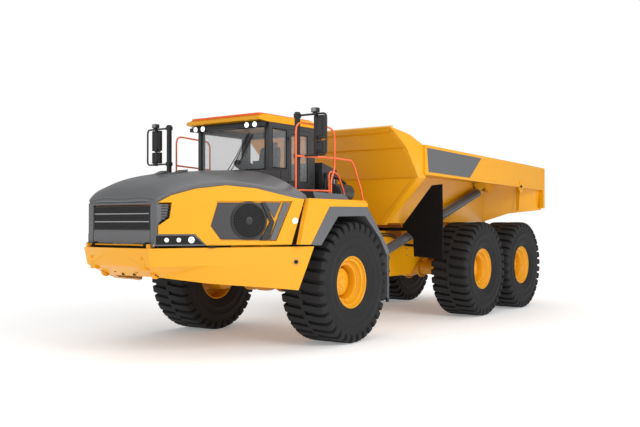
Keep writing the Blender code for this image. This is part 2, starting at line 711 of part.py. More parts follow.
box_outline = [(0.46, deck_top + seat_gap), (0.93, deck_top + seat_gap), (0.93, 3.06), (0.46, 3.18)]
filter_z = deck_top + 0.16 + seat_gap
piece("equipment_box", black, [
    slab(box_outline, "X", 0.20, 0.95, front_station),
    bar((1.20, 0.47, filter_z), (1.20, 0.92, filter_z), 0.16, front_station, 20),
    bar((0.90, 0.70, filter_z), (1.20, 0.70, filter_z), 0.07, front_station, 14),
])

shapes = []
for x in (1.62, 1.94):
    shapes.append(block(x - 0.02, x + 0.02, flap_rear + seat_gap, flap_rear + 0.06, 0.62, 1.50,
                        front_station))
for step in range(4):
    height = 0.66 + 0.25 * step
    shapes.append(block(1.62, 1.94, flap_rear + seat_gap, flap_rear + 0.12, height, height + 0.04,
                        front_station))
piece("access_ladder", steel, shapes)

# Steering hitch and its two cylinders

hitch_joint = joint_empty("steer_hinge", (0, steer_y, hitch_height))
knuckle_half = lug_gap - 0.01
shapes = [
    bar((0, steer_pivot, hitch_height - knuckle_half), (0, steer_pivot, hitch_height + knuckle_half), 0.19,
        front_station, 24),
    bar((0, steer_pivot, hitch_height - 0.46), (0, steer_pivot, hitch_height + 0.46), steer_pin_radius,
        front_station, 32),
    block(-0.17, 0.17, steer_pivot, steer_pivot + 0.30, hitch_height - 0.19, hitch_height + 0.19,
          front_station),
    bar((0, steer_pivot + 0.28, hitch_height), (0, steer_pivot + spigot_reach, hitch_height),
        roll_spigot_radius, front_station, 32),
]
shapes.append(block(-steer_arm_x - 0.07, steer_arm_x + 0.07, steer_pivot - 0.05, steer_pivot + 0.07,
                    steer_arm_top - 0.05, steer_arm_top, front_station))
piece("steering_hitch", yellow, shapes, mount=hitch_joint)


def cylinder_pair(name, base, tip, radius, rod_radius, barrel_length, rod_length, eye_axis, station,
                  low_joint, high_joint):
    """A hydraulic cylinder from its base pin to its rod's eye, as a barrel and a rod."""
    base, tip = Vector(base), Vector(tip)
    run = (tip - base).normalized()
    across = Vector(eye_axis) * radius * 0.9
    gland = base + run * barrel_length
    barrel = [bar(base + run * radius * 0.8, gland, radius, station, 20),
              bar(base - across, base + across, radius * 1.15, station, 20)]
    bore = bar(base + run * radius * 2.2, gland + run, rod_radius + pin_gap, station, 20)
    piece(f"{name}_barrel", steel, barrel, [bore], mount=low_joint, smooth=True)
    rod = [bar(tip - run * rod_length, tip - run * radius * 0.5, rod_radius, station, 20),
           bar(tip - across, tip + across, radius * 0.9, station, 20)]
    piece(f"{name}_rod", chrome, rod, mount=high_joint, smooth=True)


for side_name, side in sides.items():
    base = Vector((side * steer_base[0], steer_base[1], steer_z))
    tip = Vector((side * steer_arm_x, steer_pivot, steer_z))
    low = joint_empty(f"steer_barrel_{side_name}_hinge", front_station + base)
    high = joint_empty(f"steer_rod_{side_name}_slide", front_station + tip)
    cylinder_pair(f"steer_{side_name}", base, tip, steer_radius, steer_rod_radius, steer_barrel_length,
                  steer_rod_length, (0, 0, 1), front_station, low, high)

# Rear frame

nose_y = front_axle_y + steer_pivot - bogie_y
ring_front = nose_y + 0.36
ring_rear = nose_y + 0.74
tower_rear = nose_y + 1.75
tower_top = 1.90
beam_outline = [(ring_rear - 0.06, 0.92), (ring_rear - 0.06, tower_top), (tower_rear, tower_top),
                (tower_rear + 0.55, rear_beam_top), (tip_pivot[0] + 0.20, rear_beam_top),
                (tip_pivot[0] + 0.20, rear_beam_bottom), (-bogie_spacing / 2 - 0.50, rear_beam_bottom),
                (-bogie_spacing / 2 - 0.95, 0.92)]
hoist_y, hoist_z = hoist_low_pin
shapes = []
for side in (-1, 1):
    shapes.append(slab(beam_outline, "X", *sorted((side * rear_beam_inner, side * rear_beam_outer)),
                       rear_station))
shapes.append(block(-rear_beam_outer + 0.01, rear_beam_outer - 0.01, ring_rear - 0.06, ring_rear + 0.10, 0.93,
                    1.60, rear_station))
for y in (-2.2, 0.0, tip_pivot[0] - 0.1):
    shapes.append(block(-rear_beam_inner - 0.02, rear_beam_inner + 0.02, y - 0.12, y + 0.12,
                        rear_beam_bottom + 0.04, rear_beam_top - 0.06, rear_station))
shapes.append(bar((0, ring_front, hitch_height), (0, ring_rear, hitch_height), 0.32, rear_station, 32))
hoist_eye_inner = hoist_offset - hoist_radius * 0.9 - pin_gap
for reach, radius in ((hoist_offset - hoist_radius - 0.015, 0.10), (hoist_eye_inner, 0.07)):
    shapes.append(bar((-reach, hoist_y, hoist_z), (reach, hoist_y, hoist_z), radius, rear_station, 20))
tip_pin_radius = 0.055
shapes.append(bar((-0.80, *tip_pivot), (0.80, *tip_pivot), tip_pin_radius, rear_station, 20))
shapes.append(block(-rear_beam_outer, rear_beam_outer, tip_pivot[0] - 0.14, tip_pivot[0] + 0.14,
                    tip_pivot[1] - 0.20, tip_pivot[1] + 0.08, rear_station))
bore = bar((0, ring_front - 0.1, hitch_height), (0, nose_y + spigot_reach + pin_gap, hitch_height),
           bore_radius(roll_spigot_radius, 32), rear_station, 32)
piece("rear_frame", yellow, shapes, [bore])

# Guards in front of the middle wheels, on one bracket across the frame

guard_y = nose_y + 1.60
guard_outline = [(1.02, 2.00), (1.73, 2.84), (1.96, 2.86), (1.98, 1.33), (1.31, 1.37), (1.29, 1.76)]
shapes = [block(-1.86, 1.86, guard_y + 0.03, guard_y + 0.12, tower_top + seat_gap,
                tower_top + 0.07, rear_station)]
for side in (-1, 1):
    outline = [(side * x, z) for x, z in guard_outline]
    shapes.append(slab(outline, "Y", guard_y, guard_y + 0.05, rear_station))
piece("wheel_guards", rubber, shapes)

# Bogie beams between the middle and rear axles, on one trunnion under the frame

trunnion_z = rear_beam_bottom - 0.12 - seat_gap
half_bogie = bogie_spacing / 2
beam_outline = [(-half_bogie - 0.24, 0.92), (-half_bogie, 0.82), (0, 0.80), (half_bogie, 0.82),
                (half_bogie + 0.24, 0.92), (half_bogie + 0.24, 1.14), (0, 1.245), (-half_bogie - 0.24, 1.14)]
shapes = []
cuts = []
for side in (-1, 1):
    shapes.append(slab(beam_outline, "X", *sorted((side * 0.76, side * 0.92)), rear_station))
    for y in (-half_bogie, half_bogie):
        cuts.append(bar((side * 0.5, y, tyre_radius), (side * 1.1, y, tyre_radius),
                        bore_radius(axle_tube_radius, 16, seat_gap), rear_station))
shapes.append(bar((-0.80, 0, trunnion_z), (0.80, 0, trunnion_z), 0.12, rear_station, 20))
piece("bogie_beams", yellow, shapes, cuts)

# Dump body

tip_joint = joint_empty("tip_hinge", rear_station + Vector((0, *tip_pivot)))
pocket_half = 0.95
chute_start = 1.10


rail_lip = 0.09


def tub_ring(y, floor, floor_half, side_half, rail_low, rail_top, rail_half=body_half_width):
    """The outside at one station: floor, side, the hollow under the rail, and the rail."""
    shoulder = rail_low + rail_lip
    return mirrored([(floor_half, y, floor), (side_half, y, shoulder), (rail_half - 0.07, y, shoulder),
                     (rail_half, y, rail_low), (rail_half, y, rail_top)])


def hold_ring(y, floor, floor_half, side_half, rail_low):
    """The load space at one station, inside the walls."""
    shelf = rail_low + rail_lip + body_wall
    return mirrored([(floor_half - body_wall, y, floor + body_wall), (side_half - body_wall, y, shelf),
                     (body_half_width - body_wall, y, shelf + 0.05), (body_half_width - body_wall, y, 3.80)])


stations = [
    # y, floor, half-width of the floor, half-width of the side, rail's bottom and top
    (nose_y + 1.02, floor_height, 0.90, pocket_half, 3.03, 3.62),
    (chute_start, floor_height + 0.04, 0.90, pocket_half, 2.95, 3.53),
    (chute_start + 0.55, 2.31, 1.35, 1.60, 2.94, 3.52),
    (tail_y - 0.12, 2.40, 1.76, 1.82, 2.92, 3.49),
    (tail_y, 2.41, 1.80, 1.83, 2.92, 3.49),
]
outer = [tub_ring(*row) for row in stations]
hold_stations = [(nose_y + 1.08, *stations[0][1:5])] + [row[:5] for row in stations[1:4]]
hold_stations.append((tail_y + 0.2, *stations[4][1:5]))
inner = [hold_ring(*row) for row in hold_stations]
wall_levels = [
    # height, half-width, front y and rear y from the steering pivot
    (2.03, 0.97, 0.95, 1.10), (2.97, 1.87, 0.80, 1.10), (3.52, 1.85, 0.38, 1.10), (3.61, 1.84, 0.26, 1.08),
    (3.79, 1.81, 0.02, 0.58), (3.88, 1.77, -0.12, 0.00),
]
room_levels = [
    (2.12, 0.91, 1.01, 1.045), (2.97, 1.80, 0.86, 1.045), (3.52, 1.79, 0.45, 1.2), (3.61, 1.78, 0.34, 1.2),
    (3.79, 1.75, 0.10, 1.2), (3.95, 1.70, -0.12, 1.2),
]


def level_ring(z, half_width, front, rear):
    return [(-half_width, nose_y + front, z), (half_width, nose_y + front, z),
            (half_width, nose_y + rear, z), (-half_width, nose_y + rear, z)]


shapes = [loft(outer, rear_station), loft([level_ring(*row) for row in wall_levels], rear_station)]
for side in (-1, 1):
    shapes.append(block(*sorted((side * 0.45, side * 0.57)), tower_rear + 0.80, tip_pivot[0] - 0.30,
                        rear_beam_top + seat_gap, floor_height + 0.03, rear_station))
    ear = slab([(tip_pivot[0] - 0.14, 2.30), (tip_pivot[0] - 0.12, tip_pivot[1]),
                (tip_pivot[0], tip_pivot[1] - 0.12), (tip_pivot[0] + 0.12, tip_pivot[1]),
                (tip_pivot[0] + 0.14, 2.42)], "X", *sorted((side * 0.64, side * 0.74)), rear_station)
    shapes.append(ear)
    bracket = slab([(hoist_top_pin[0] - 0.35, 3.07), (hoist_top_pin[0] - 0.10, hoist_top_pin[1] - 0.10),
                    (hoist_top_pin[0] + 0.10, hoist_top_pin[1] - 0.10), (hoist_top_pin[0] + 0.30, 3.07)],
                   "X", *sorted((side * (hoist_offset + hoist_radius * 0.9 + pin_gap), side * (hoist_offset + 0.14))),
                   rear_station)
    shapes.append(bracket)
hole = bar((-0.9, *tip_pivot), (0.9, *tip_pivot), bore_radius(tip_pin_radius, 20), rear_station, 20)
cuts = [loft(inner, rear_station), loft([level_ring(*row) for row in room_levels], rear_station), hole]
piece("dump_body", yellow, shapes, cuts, mount=tip_joint)

# Hoist cylinders

for side_name, side in sides.items():
    base = Vector((side * hoist_offset, *hoist_low_pin))
    tip = Vector((side * hoist_offset, *hoist_top_pin))
    low = joint_empty(f"hoist_barrel_{side_name}_hinge", rear_station + base)
    high = joint_empty(f"hoist_rod_{side_name}_slide", rear_station + tip)
    length = (tip - base).length
    cylinder_pair(f"hoist_{side_name}", base, tip, hoist_radius, 0.06, length - 0.28, length - 0.75,
                  (1, 0, 0), rear_station, low, high)
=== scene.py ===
import json
import math

import bmesh
import bpy
from mathutils import Matrix, Vector


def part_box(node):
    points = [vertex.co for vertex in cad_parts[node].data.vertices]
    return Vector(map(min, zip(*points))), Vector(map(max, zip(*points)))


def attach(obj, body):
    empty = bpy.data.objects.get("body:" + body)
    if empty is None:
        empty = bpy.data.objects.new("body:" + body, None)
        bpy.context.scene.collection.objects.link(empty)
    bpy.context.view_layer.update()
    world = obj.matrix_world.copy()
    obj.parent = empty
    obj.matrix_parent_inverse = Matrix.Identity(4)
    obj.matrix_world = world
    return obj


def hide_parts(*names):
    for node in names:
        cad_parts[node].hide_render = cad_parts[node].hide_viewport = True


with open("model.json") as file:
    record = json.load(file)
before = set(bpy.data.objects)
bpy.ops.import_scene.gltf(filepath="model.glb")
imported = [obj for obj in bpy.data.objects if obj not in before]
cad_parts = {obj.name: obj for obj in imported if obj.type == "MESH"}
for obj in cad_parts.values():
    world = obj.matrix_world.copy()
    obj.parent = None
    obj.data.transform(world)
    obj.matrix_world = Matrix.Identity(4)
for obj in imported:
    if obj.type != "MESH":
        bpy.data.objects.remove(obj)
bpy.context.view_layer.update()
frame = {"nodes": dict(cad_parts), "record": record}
nodes = frame["nodes"]
record = frame["record"]
bodyOfNode = {node: body for body, held in record["behaviour"]["bodies"].items() for node in held}
slotOfNode = {row["node"]: row["material_slot"] for row in record["subparts"]}
print("frame loaded")


def middleOf(node):
    low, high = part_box(node)
    return (Vector(low) + Vector(high)) / 2


frontAxle = Vector((0, middleOf("tyre_front_left").y, 0))
bogie = Vector((0, (middleOf("tyre_mid_left").y + middleOf("tyre_rear_left").y) / 2, 0))


def front(x, y, z):
    return frontAxle + Vector((x, y, z))


def rear(x, y, z):
    return bogie + Vector((x, y, z))


# camera, floor and light

view = {"place": (9.81, -14.40, 2.06), "turn": 36.26, "tilt": 0.687, "lens": 46.0}
cameraData = bpy.data.cameras.new("studioCamera")
cameraData.lens = view["lens"]
cameraData.sensor_width = 36
camera = bpy.data.objects.new("studioCamera", cameraData)
camera.location = view["place"]
camera.rotation_euler = (math.radians(90 + view["tilt"]), 0, math.radians(view["turn"]))
bpy.context.scene.collection.objects.link(camera)
bpy.context.scene.camera = camera
bpy.context.scene.view_settings.view_transform = "Standard"

studio = {"floor": 120.0, "sky": 1.0, "ambient": 0.42, "key": 1350, "fill": 330, "top": 620,
          "floorGlow": 0.22,
          "farGlow": 0.66, "glowFrom": 4.0, "glowTo": 13.0}


def areaLight(name, place, aim, size, power):
    light = bpy.data.lights.new(name, "AREA")
    light.shape = "RECTANGLE"
    light.size = size[0]
    light.size_y = size[1]
    light.energy = power
    lamp = bpy.data.objects.new(name, light)
    lamp.location = place
    lamp.rotation_euler = (Vector(aim) - Vector(place)).to_track_quat("-Z", "Y").to_euler()
    bpy.context.scene.collection.objects.link(lamp)


areaLight("keyLight", (14, -5, 9), (0, 0, 1.5), (9, 7), studio["key"])
areaLight("fillLight", (-2, -16, 6), (0, -3, 1.5), (8, 6), studio["fill"])
areaLight("topLight", (0, 1, 13), (0, 0, 0), (12, 16), studio["top"])

world = bpy.data.worlds.new("studioWorld")
world.use_nodes = True
studioSky = world.node_tree.nodes["Background"]
studioSky.inputs["Color"].default_value = (1, 1, 1, 1)
seen = world.node_tree.nodes.new("ShaderNodeLightPath")
level = world.node_tree.nodes.new("ShaderNodeMapRange")
level.inputs["To Min"].default_value = studio["ambient"]
level.inputs["To Max"].default_value = studio["sky"]
world.node_tree.links.new(seen.outputs["Is Camera Ray"], level.inputs["Value"])
world.node_tree.links.new(level.outputs["Result"], studioSky.inputs["Strength"])
bpy.context.scene.world = world


# finishes

def nodeOf(tree, kind, **values):
    node = tree.nodes.new(kind)
    for name, value in values.items():
        node.inputs[name.replace("_", " ")].default_value = value
    return node


def finish(name, colour, roughness, metallic=0.0, coat=0.0, vary=0.06, grain=60.0, bump=0.02, alpha=1.0,
           fabric=False, gloss=0.5):
    mat = bpy.data.materials.new(name)
    mat.use_nodes = True
    tree = mat.node_tree
    shader = tree.nodes["Principled BSDF"]
    shader.inputs["Metallic"].default_value = metallic
    shader.inputs["Coat Weight"].default_value = coat
    shader.inputs["Specular IOR Level"].default_value = gloss
    shader.inputs["Coat Roughness"].default_value = 0.08
    shader.inputs["Alpha"].default_value = alpha
    place = tree.nodes.new("ShaderNodeTexCoord")
    broad = nodeOf(tree, "ShaderNodeTexNoise", Scale=1.7, Detail=4.0)
    fine = nodeOf(tree, "ShaderNodeTexNoise", Scale=grain, Detail=3.0)
    tree.links.new(place.outputs["Object"], broad.inputs["Vector"])
    tree.links.new(place.outputs["Object"], fine.inputs["Vector"])
    tint = tree.nodes.new("ShaderNodeMix")
    tint.data_type = "RGBA"
    tint.inputs["A"].default_value = (*[c * (1 - vary) for c in colour], 1)
    tint.inputs["B"].default_value = (*[min(1, c * (1 + vary)) for c in colour], 1)
    tree.links.new(broad.outputs["Fac"], tint.inputs["Factor"])
    tree.links.new(tint.outputs["Result"], shader.inputs["Base Color"])
    rough = tree.nodes.new("ShaderNodeMapRange")
    rough.inputs["To Min"].default_value = roughness * 0.85
    rough.inputs["To Max"].default_value = min(1, roughness * 1.15)
    tree.links.new(fine.outputs["Fac"], rough.inputs["Value"])
    tree.links.new(rough.outputs["Result"], shader.inputs["Roughness"])
    relief = nodeOf(tree, "ShaderNodeBump", Strength=bump, Distance=0.004)
    height = fine.outputs["Fac"]
    if fabric:
        weave = nodeOf(tree, "ShaderNodeTexWave", Scale=160.0, Distortion=1.0)
        tree.links.new(place.outputs["Object"], weave.inputs["Vector"])
        height = weave.outputs["Fac"]
        shader.inputs["Sheen Weight"].default_value = 0.4
    tree.links.new(height, relief.inputs["Height"])
    tree.links.new(relief.outputs["Normal"], shader.inputs["Normal"])
    return mat


def lampGlow(name, colour, strength):
    mat = finish(name, colour, 0.12, coat=1.0)
    shader = mat.node_tree.nodes["Principled BSDF"]
    shader.inputs["Emission Color"].default_value = (*colour, 1)
    shader.inputs["Emission Strength"].default_value = strength
    return mat


yellow = finish("machineYellow", (0.82, 0.365, 0.004), 0.34, coat=0.10, vary=0.03, grain=220, bump=0.015,
                gloss=0.4)
paleYellow = finish("rimYellow", (0.80, 0.36, 0.004), 0.40, coat=0.10, vary=0.04, grain=180, bump=0.03,
                    gloss=0.4)
charcoal = finish("charcoalPaint", (0.036, 0.037, 0.040), 0.42, coat=0.2, vary=0.08, grain=260, bump=0.02)
greyPaint = finish("greyPaint", (0.105, 0.108, 0.115), 0.40, coat=0.2, vary=0.06, grain=240, bump=0.02)
black = finish("blackPlastic", (0.012, 0.012, 0.013), 0.48, vary=0.15, grain=300, bump=0.10)
# near-black: the real black of seals, blades and joints, and painted shade in vent mouths, holes and behind
# the fan guard
blackAndPaintedShade = finish("blackWithPaintedShade", (0.004, 0.004, 0.004), 0.8)
tyreRubber = finish("tyreRubber", (0.014, 0.014, 0.015), 0.75, vary=0.25, grain=45, bump=0.35, gloss=0.35)
guardRubber = finish("guardRubber", (0.003, 0.003, 0.003), 0.85, vary=0.2, grain=90, bump=0.25, gloss=0.2)
cylinderGrey = finish("cylinderGrey", (0.085, 0.090, 0.100), 0.30, coat=0.4, vary=0.05, grain=200,
                      bump=0.02)
chrome = finish("rodChrome", (0.78, 0.78, 0.80), 0.10, metallic=1.0, vary=0.02, grain=300, bump=0.01)
steel = finish("boltSteel", (0.42, 0.42, 0.43), 0.32, metallic=0.9, vary=0.12, grain=300, bump=0.05)
railOrange = finish("railOrange", (0.86, 0.13, 0.025), 0.38, coat=0.3, vary=0.05, grain=200, bump=0.02)
seatCloth = finish("seatCloth", (0.030, 0.031, 0.034), 0.95, vary=0.2, grain=400, bump=0.5, fabric=True)
mirrorGlass = finish("mirrorGlass", (0.85, 0.87, 0.88), 0.03, metallic=1.0, vary=0.01, bump=0.0)
tintedGlass = finish("tintedGlass", (0.50, 0.53, 0.55), 0.04, coat=0.6, vary=0.02, bump=0.0, alpha=0.17)
clearLens = finish("clearLens", (0.85, 0.88, 0.90), 0.04, coat=1.0, vary=0.01, bump=0.0, alpha=0.30)
lampWhite = lampGlow("lampWhite", (0.92, 0.95, 1.0), 1.1)
lampRed = finish("lampRed", (0.45, 0.01, 0.01), 0.15, coat=1.0, vary=0.02, bump=0.0)
floorFinish = finish("paleFloor", (0.93, 0.93, 0.93), 0.75, vary=0.01, grain=4, bump=0.0)
floorTree = floorFinish.node_tree
floorShader = floorTree.nodes["Principled BSDF"]
floorShader.inputs["Emission Color"].default_value = (1, 1, 1, 1)
floorPlace = floorTree.nodes.new("ShaderNodeTexCoord")
away = floorTree.nodes.new("ShaderNodeVectorMath")
away.operation = "LENGTH"
glow = floorTree.nodes.new("ShaderNodeMapRange")     # painted light: the floor glows, weakly near the truck and more strongly away from it
glow.inputs["From Min"].default_value = studio["glowFrom"]
glow.inputs["From Max"].default_value = studio["glowTo"]
glow.inputs["To Min"].default_value = studio["floorGlow"]
glow.inputs["To Max"].default_value = studio["farGlow"]
floorTree.links.new(floorPlace.outputs["Object"], away.inputs[0])
floorTree.links.new(away.outputs["Value"], glow.inputs["Value"])
floorTree.links.new(glow.outputs["Result"], floorShader.inputs["Emission Strength"])
print("finishes made")

floorMesh = bpy.data.meshes.new("studioFloor")
bm = bmesh.new()
bmesh.ops.create_grid(bm, x_segments=1, y_segments=1, size=studio["floor"])
bm.to_mesh(floorMesh)
bm.free()
floor = bpy.data.objects.new("studioFloor", floorMesh)
floor.data.materials.append(floorFinish)
bpy.context.scene.collection.objects.link(floor)


# shapes

# the slot of each finish, where a piece names no other
usualSlot = {
    "machineYellow": "body_yellow", "rimYellow": "wheel_yellow", "charcoalPaint": "charcoal_paint",
    "greyPaint": "charcoal_paint", "blackPlastic": "black_plastic", "blackWithPaintedShade": "black_plastic",
    "tyreRubber": "tyre", "cylinderGrey": "cylinder_grey", "rodChrome": "rod_chrome",
    "railOrange": "rail_orange", "seatCloth": "seat_cloth",
}


def place(name, data, material, body, slot, stands):
    slot = slot or usualSlot[material.name]
    piece = bpy.data.objects.new(name, data)
    bpy.context.scene.collection.objects.link(piece)
    data.materials.clear()
    data.materials.append(material)
    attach(piece, body)
    if stands:
        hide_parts(*stands)
    return piece


def meshPiece(name, bm, material, body="front_chassis", slot=None, stands=(), edge=0.0, angle=35,
              segments=2):
    bmesh.ops.recalc_face_normals(bm, faces=bm.faces)
    data = bpy.data.meshes.new(name)
    bm.to_mesh(data)
    bm.free()
    data.shade_smooth()
    data.set_sharp_from_angle(angle=math.radians(angle))
    piece = place(name, data, material, body, slot, stands)
    if edge:
        bevel = piece.modifiers.new("edges", "BEVEL")
        bevel.width = edge
        bevel.segments = segments
        bevel.limit_method = "ANGLE"
        bevel.angle_limit = math.radians(angle)
        bevel.harden_normals = True
    return piece


def edged(node, material, edge=0.006, angle=28):
    # a copy of the structure's own panel with its edges rounded
    source = nodes[node]
    bm = bmesh.new()
    bm.from_mesh(source.data)
    bm.transform(source.matrix_world)
    bmesh.ops.remove_doubles(bm, verts=bm.verts, dist=0.00006)
    bmesh.ops.dissolve_limit(bm, angle_limit=math.radians(0.6), verts=bm.verts, edges=bm.edges)
    return meshPiece(f"{node}_skin", bm, material, bodyOfNode[node], slotOfNode[node], (node,), edge, angle)


def addBox(bm, low, high):
    low, high = Vector(low), Vector(high)
    size = Matrix.Diagonal((*(high - low), 1))
    bmesh.ops.create_cube(bm, size=1, matrix=Matrix.Translation((low + high) / 2) @ size)


def frontBox(bm, x0, y0, z0, x1, y1, z1):
    addBox(bm, front(x0, y0, z0), front(x1, y1, z1))


def frontSlab(bm, x, half, y0, y1, z0, z1):
    # a box centred across on x
    frontBox(bm, x - half, y0, z0, x + half, y1, z1)


def addBar(bm, start, end, radius, sides=20, endRadius=None):
    start, end = Vector(start), Vector(end)
    run = end - start
    turn = run.to_track_quat("Z", "Y").to_matrix().to_4x4()
    bmesh.ops.create_cone(bm, cap_ends=True, segments=sides, radius1=radius,
                          radius2=radius if endRadius is None else endRadius, depth=run.length,
                          matrix=Matrix.Translation((start + end) / 2) @ turn)


def addLoft(bm, rings, closed=False):
    # faces between rings of points, capped at both ends unless it closes on itself
    rows = [[bm.verts.new(spot) for spot in ring] for ring in rings]
    count = len(rows[0])
    for low, high in zip(rows, rows[1:] + rows[:1] if closed else rows[1:]):
        for i in range(count):
            j = (i + 1) % count
            bm.faces.new((low[i], low[j], high[j], high[i]))
    if not closed:
        bm.faces.new(list(reversed(rows[0])))
        bm.faces.new(rows[-1])


def addLathe(bm, origin, axis, profile, steps=48, closed=False):
    # profile points are (along the axis, radius)
    origin, turn = Vector(origin), Vector(axis).to_track_quat("Z", "Y").to_matrix()
    swings = [math.tau * step / steps for step in range(steps)]
    addLoft(bm, [[origin + turn @ Vector((radius * math.cos(swing), radius * math.sin(swing), along))
                  for swing in swings] for along, radius in profile], closed)


def addRing(bm, origin, axis, width, outer, inner, steps):
    # a flat-sided ring, its first face at the origin
    addLathe(bm, origin, axis, [(0.0, outer), (width, outer), (width, inner), (0.0, inner)], steps,
             closed=True)


def addPrism(bm, outline, push):
    # a flat outline pushed by a vector
    low = [Vector(point) for point in outline]
    addLoft(bm, [low, [point + Vector(push) for point in low]])


def addBolt(bm, spot, axis, size):
    spot, axis = Vector(spot), Vector(axis).normalized()
    addBar(bm, spot - axis * size * 0.2, spot + axis * size * 0.25, size * 1.25, 20)
    addBar(bm, spot, spot + axis * size * 0.9, size, 6)


def roundedPath(points, bend, steps=5, closed=False):
    points = [Vector(point) for point in points]
    count = len(points)
    path = []
    for i, point in enumerate(points):
        if not closed and i in (0, count - 1):
            path.append(point)
            continue
        back = points[i - 1] - point
        ahead = points[(i + 1) % count] - point
        reach = min(bend, back.length * 0.45, ahead.length * 0.45)
        enter = point + back.normalized() * reach
        leave = point + ahead.normalized() * reach
        for step in range(steps + 1):
            t = step / steps
            path.append(enter * (1 - t) ** 2 + point * 2 * t * (1 - t) + leave * t * t)
    return path


def tubePiece(name, paths, radius, material, body="front_chassis", slot=None, stands=(), bend=0.06,
              closed=False):
    curve = bpy.data.curves.new(name, "CURVE")
    curve.dimensions = "3D"
    curve.bevel_depth = radius
    curve.bevel_resolution = 3
    curve.use_fill_caps = True
    for points in paths:
        path = roundedPath(points, bend, closed=closed)
        spline = curve.splines.new("POLY")
        spline.points.add(len(path) - 1)
        for point, spot in zip(spline.points, path):
            point.co = (*spot, 1)
        spline.use_cyclic_u = closed
        spline.use_smooth = True
    return place(name, curve, material, body, slot, stands)


sideNames = {"left": 1, "right": -1}


# wheels

tread = {"lugs": 34, "height": 0.055, "width": 0.62, "lean": 0.35}
tyreCentre = middleOf("tyre_front_left")
tyreRadius = tyreCentre.z


def addTyre(bm, origin, side):
    base = tyreRadius - tread["height"]
    half = [(0.44, 0.325), (0.455, 0.345), (0.475, 0.36), (0.52, 0.385), (0.575, 0.402), (0.60, 0.406),
            (0.606, 0.414), (0.622, 0.414), (0.63, 0.408), (0.70, 0.418), (0.745, 0.421), (0.75, 0.426),
            (0.765, 0.426), (0.77, 0.421), (0.84, 0.416), (0.90, 0.402), (0.94, 0.385), (0.968, 0.36),
            (base, 0.30), (base + 0.004, 0.0)]
    profile = [(across, radius) for radius, across in half]
    profile += [(-across, radius) for radius, across in reversed(half[:-1])]
    addLathe(bm, origin, (side, 0, 0), profile, 96, closed=True)


def addLugs(bm, origin):
    top = tyreRadius
    stations = [(-0.03, top - 0.004, 0.0), (0.10, top, 0.12), (0.22, top, 0.42), (0.36, top - 0.003, 0.62),
                (0.405, top - 0.022, 0.66), (0.427, top - 0.065, 0.66), (0.428, 0.925, 0.66),
                (0.412, 0.885, 0.66)]
    pitch = math.tau / tread["lugs"]
    half = pitch * tread["width"] / 2
    for hand in (1, -1):
        for number in range(tread["lugs"]):
            start = pitch * (number + (0.5 if hand < 0 else 0))
            rings = []
            for across, radius, lean in stations:
                swing = start + hand * lean * pitch * tread["lean"]
                spread = half * (1.0 if across > 0.05 else 0.8)
                ring = []
                for edge, drop in ((-1, 0), (1, 0), (1.22, 1), (-1.22, 1)):
                    turn = swing + edge * spread
                    reach = radius - drop * (0.075 if across < 0.40 else 0.05)
                    inset = 0.035 * drop if across > 0.40 else 0
                    spot = Vector((hand * (across - inset), reach * math.cos(turn), reach * math.sin(turn)))
                    ring.append(Vector(origin) + spot)
                rings.append(ring)
            addLoft(bm, rings)


rimShape = {
    # (across from the wheel's middle, radius)
    "shell": [(-0.34, 0.452), (-0.345, 0.440), (-0.335, 0.425), (-0.10, 0.415), (-0.09, 0.30), (0.00, 0.29),
              (0.185, 0.292), (0.205, 0.302), (0.212, 0.318), (0.214, 0.345), (0.222, 0.352),
              (0.245, 0.366),
              (0.285, 0.378), (0.292, 0.392), (0.292, 0.412), (0.312, 0.424), (0.336, 0.430),
              (0.344, 0.438), (0.344, 0.448), (0.335, 0.4535), (0.30, 0.4535)],
    "hub": [(-0.08, 0.296), (-0.02, 0.294), (-0.012, 0.286), (-0.012, 0.262), (0.00, 0.252), (0.075, 0.244),
            (0.105, 0.232), (0.118, 0.212), (0.122, 0.165), (0.130, 0.158), (0.134, 0.10), (0.146, 0.092),
            (0.150, 0.05), (0.150, 0.004)],
}


def addRim(bm, origin, side):
    addLathe(bm, origin, (side, 0, 0), rimShape["shell"], 72, closed=True)
    addLathe(bm, origin, (side, 0, 0), rimShape["hub"], 72)
    addLathe(bm, origin, (side, 0, 0), [(0.214, 0.338), (0.224, 0.336), (0.224, 0.330), (0.214, 0.328)], 72,
             closed=True)


def addWheelBolts(bm, origin, side):
    axis = Vector((side, 0, 0))
    for count, radius, across, size in ((20, 0.274, -0.010, 0.014), (12, 0.188, 0.121, 0.011),
                                        (6, 0.074, 0.147, 0.008)):
        for number in range(count):
            swing = math.tau * (number + 0.5) / count
            spot = origin + axis * across + Vector((0, math.cos(swing), math.sin(swing))) * radius
            addBolt(bm, spot, axis, size)
    for swing in (0.4, 2.5, 4.6):
        spot = origin + axis * 0.218 + Vector((0, math.cos(swing), math.sin(swing))) * 0.322
        addBolt(bm, spot, axis, 0.012)


for axleName in ("front", "mid", "rear"):
    for sideName, side in sideNames.items():
        wheel = f"wheel_{axleName}_{sideName}"
        origin = middleOf(f"tyre_{axleName}_{sideName}")
        bm = bmesh.new()
        addTyre(bm, origin, side)
        meshPiece(f"tyre_{axleName}_{sideName}_carcass", bm, tyreRubber, wheel,
                  stands=(f"tyre_{axleName}_{sideName}",), angle=50)
        bm = bmesh.new()
        addLugs(bm, origin)
        meshPiece(f"tyre_{axleName}_{sideName}_lugs", bm, tyreRubber, wheel, edge=0.006, angle=40,
                  segments=1)
        bm = bmesh.new()
        addRim(bm, origin, side)
        meshPiece(f"rim_{axleName}_{sideName}_disc", bm, paleYellow, wheel,
                  stands=(f"rim_{axleName}_{sideName}",), angle=30)
        bm = bmesh.new()
        addWheelBolts(bm, origin, side)
        meshPiece(f"rim_{axleName}_{sideName}_bolts", bm, paleYellow, wheel, angle=30)
print("wheels made")


# body panels kept from the structure, with rounded edges

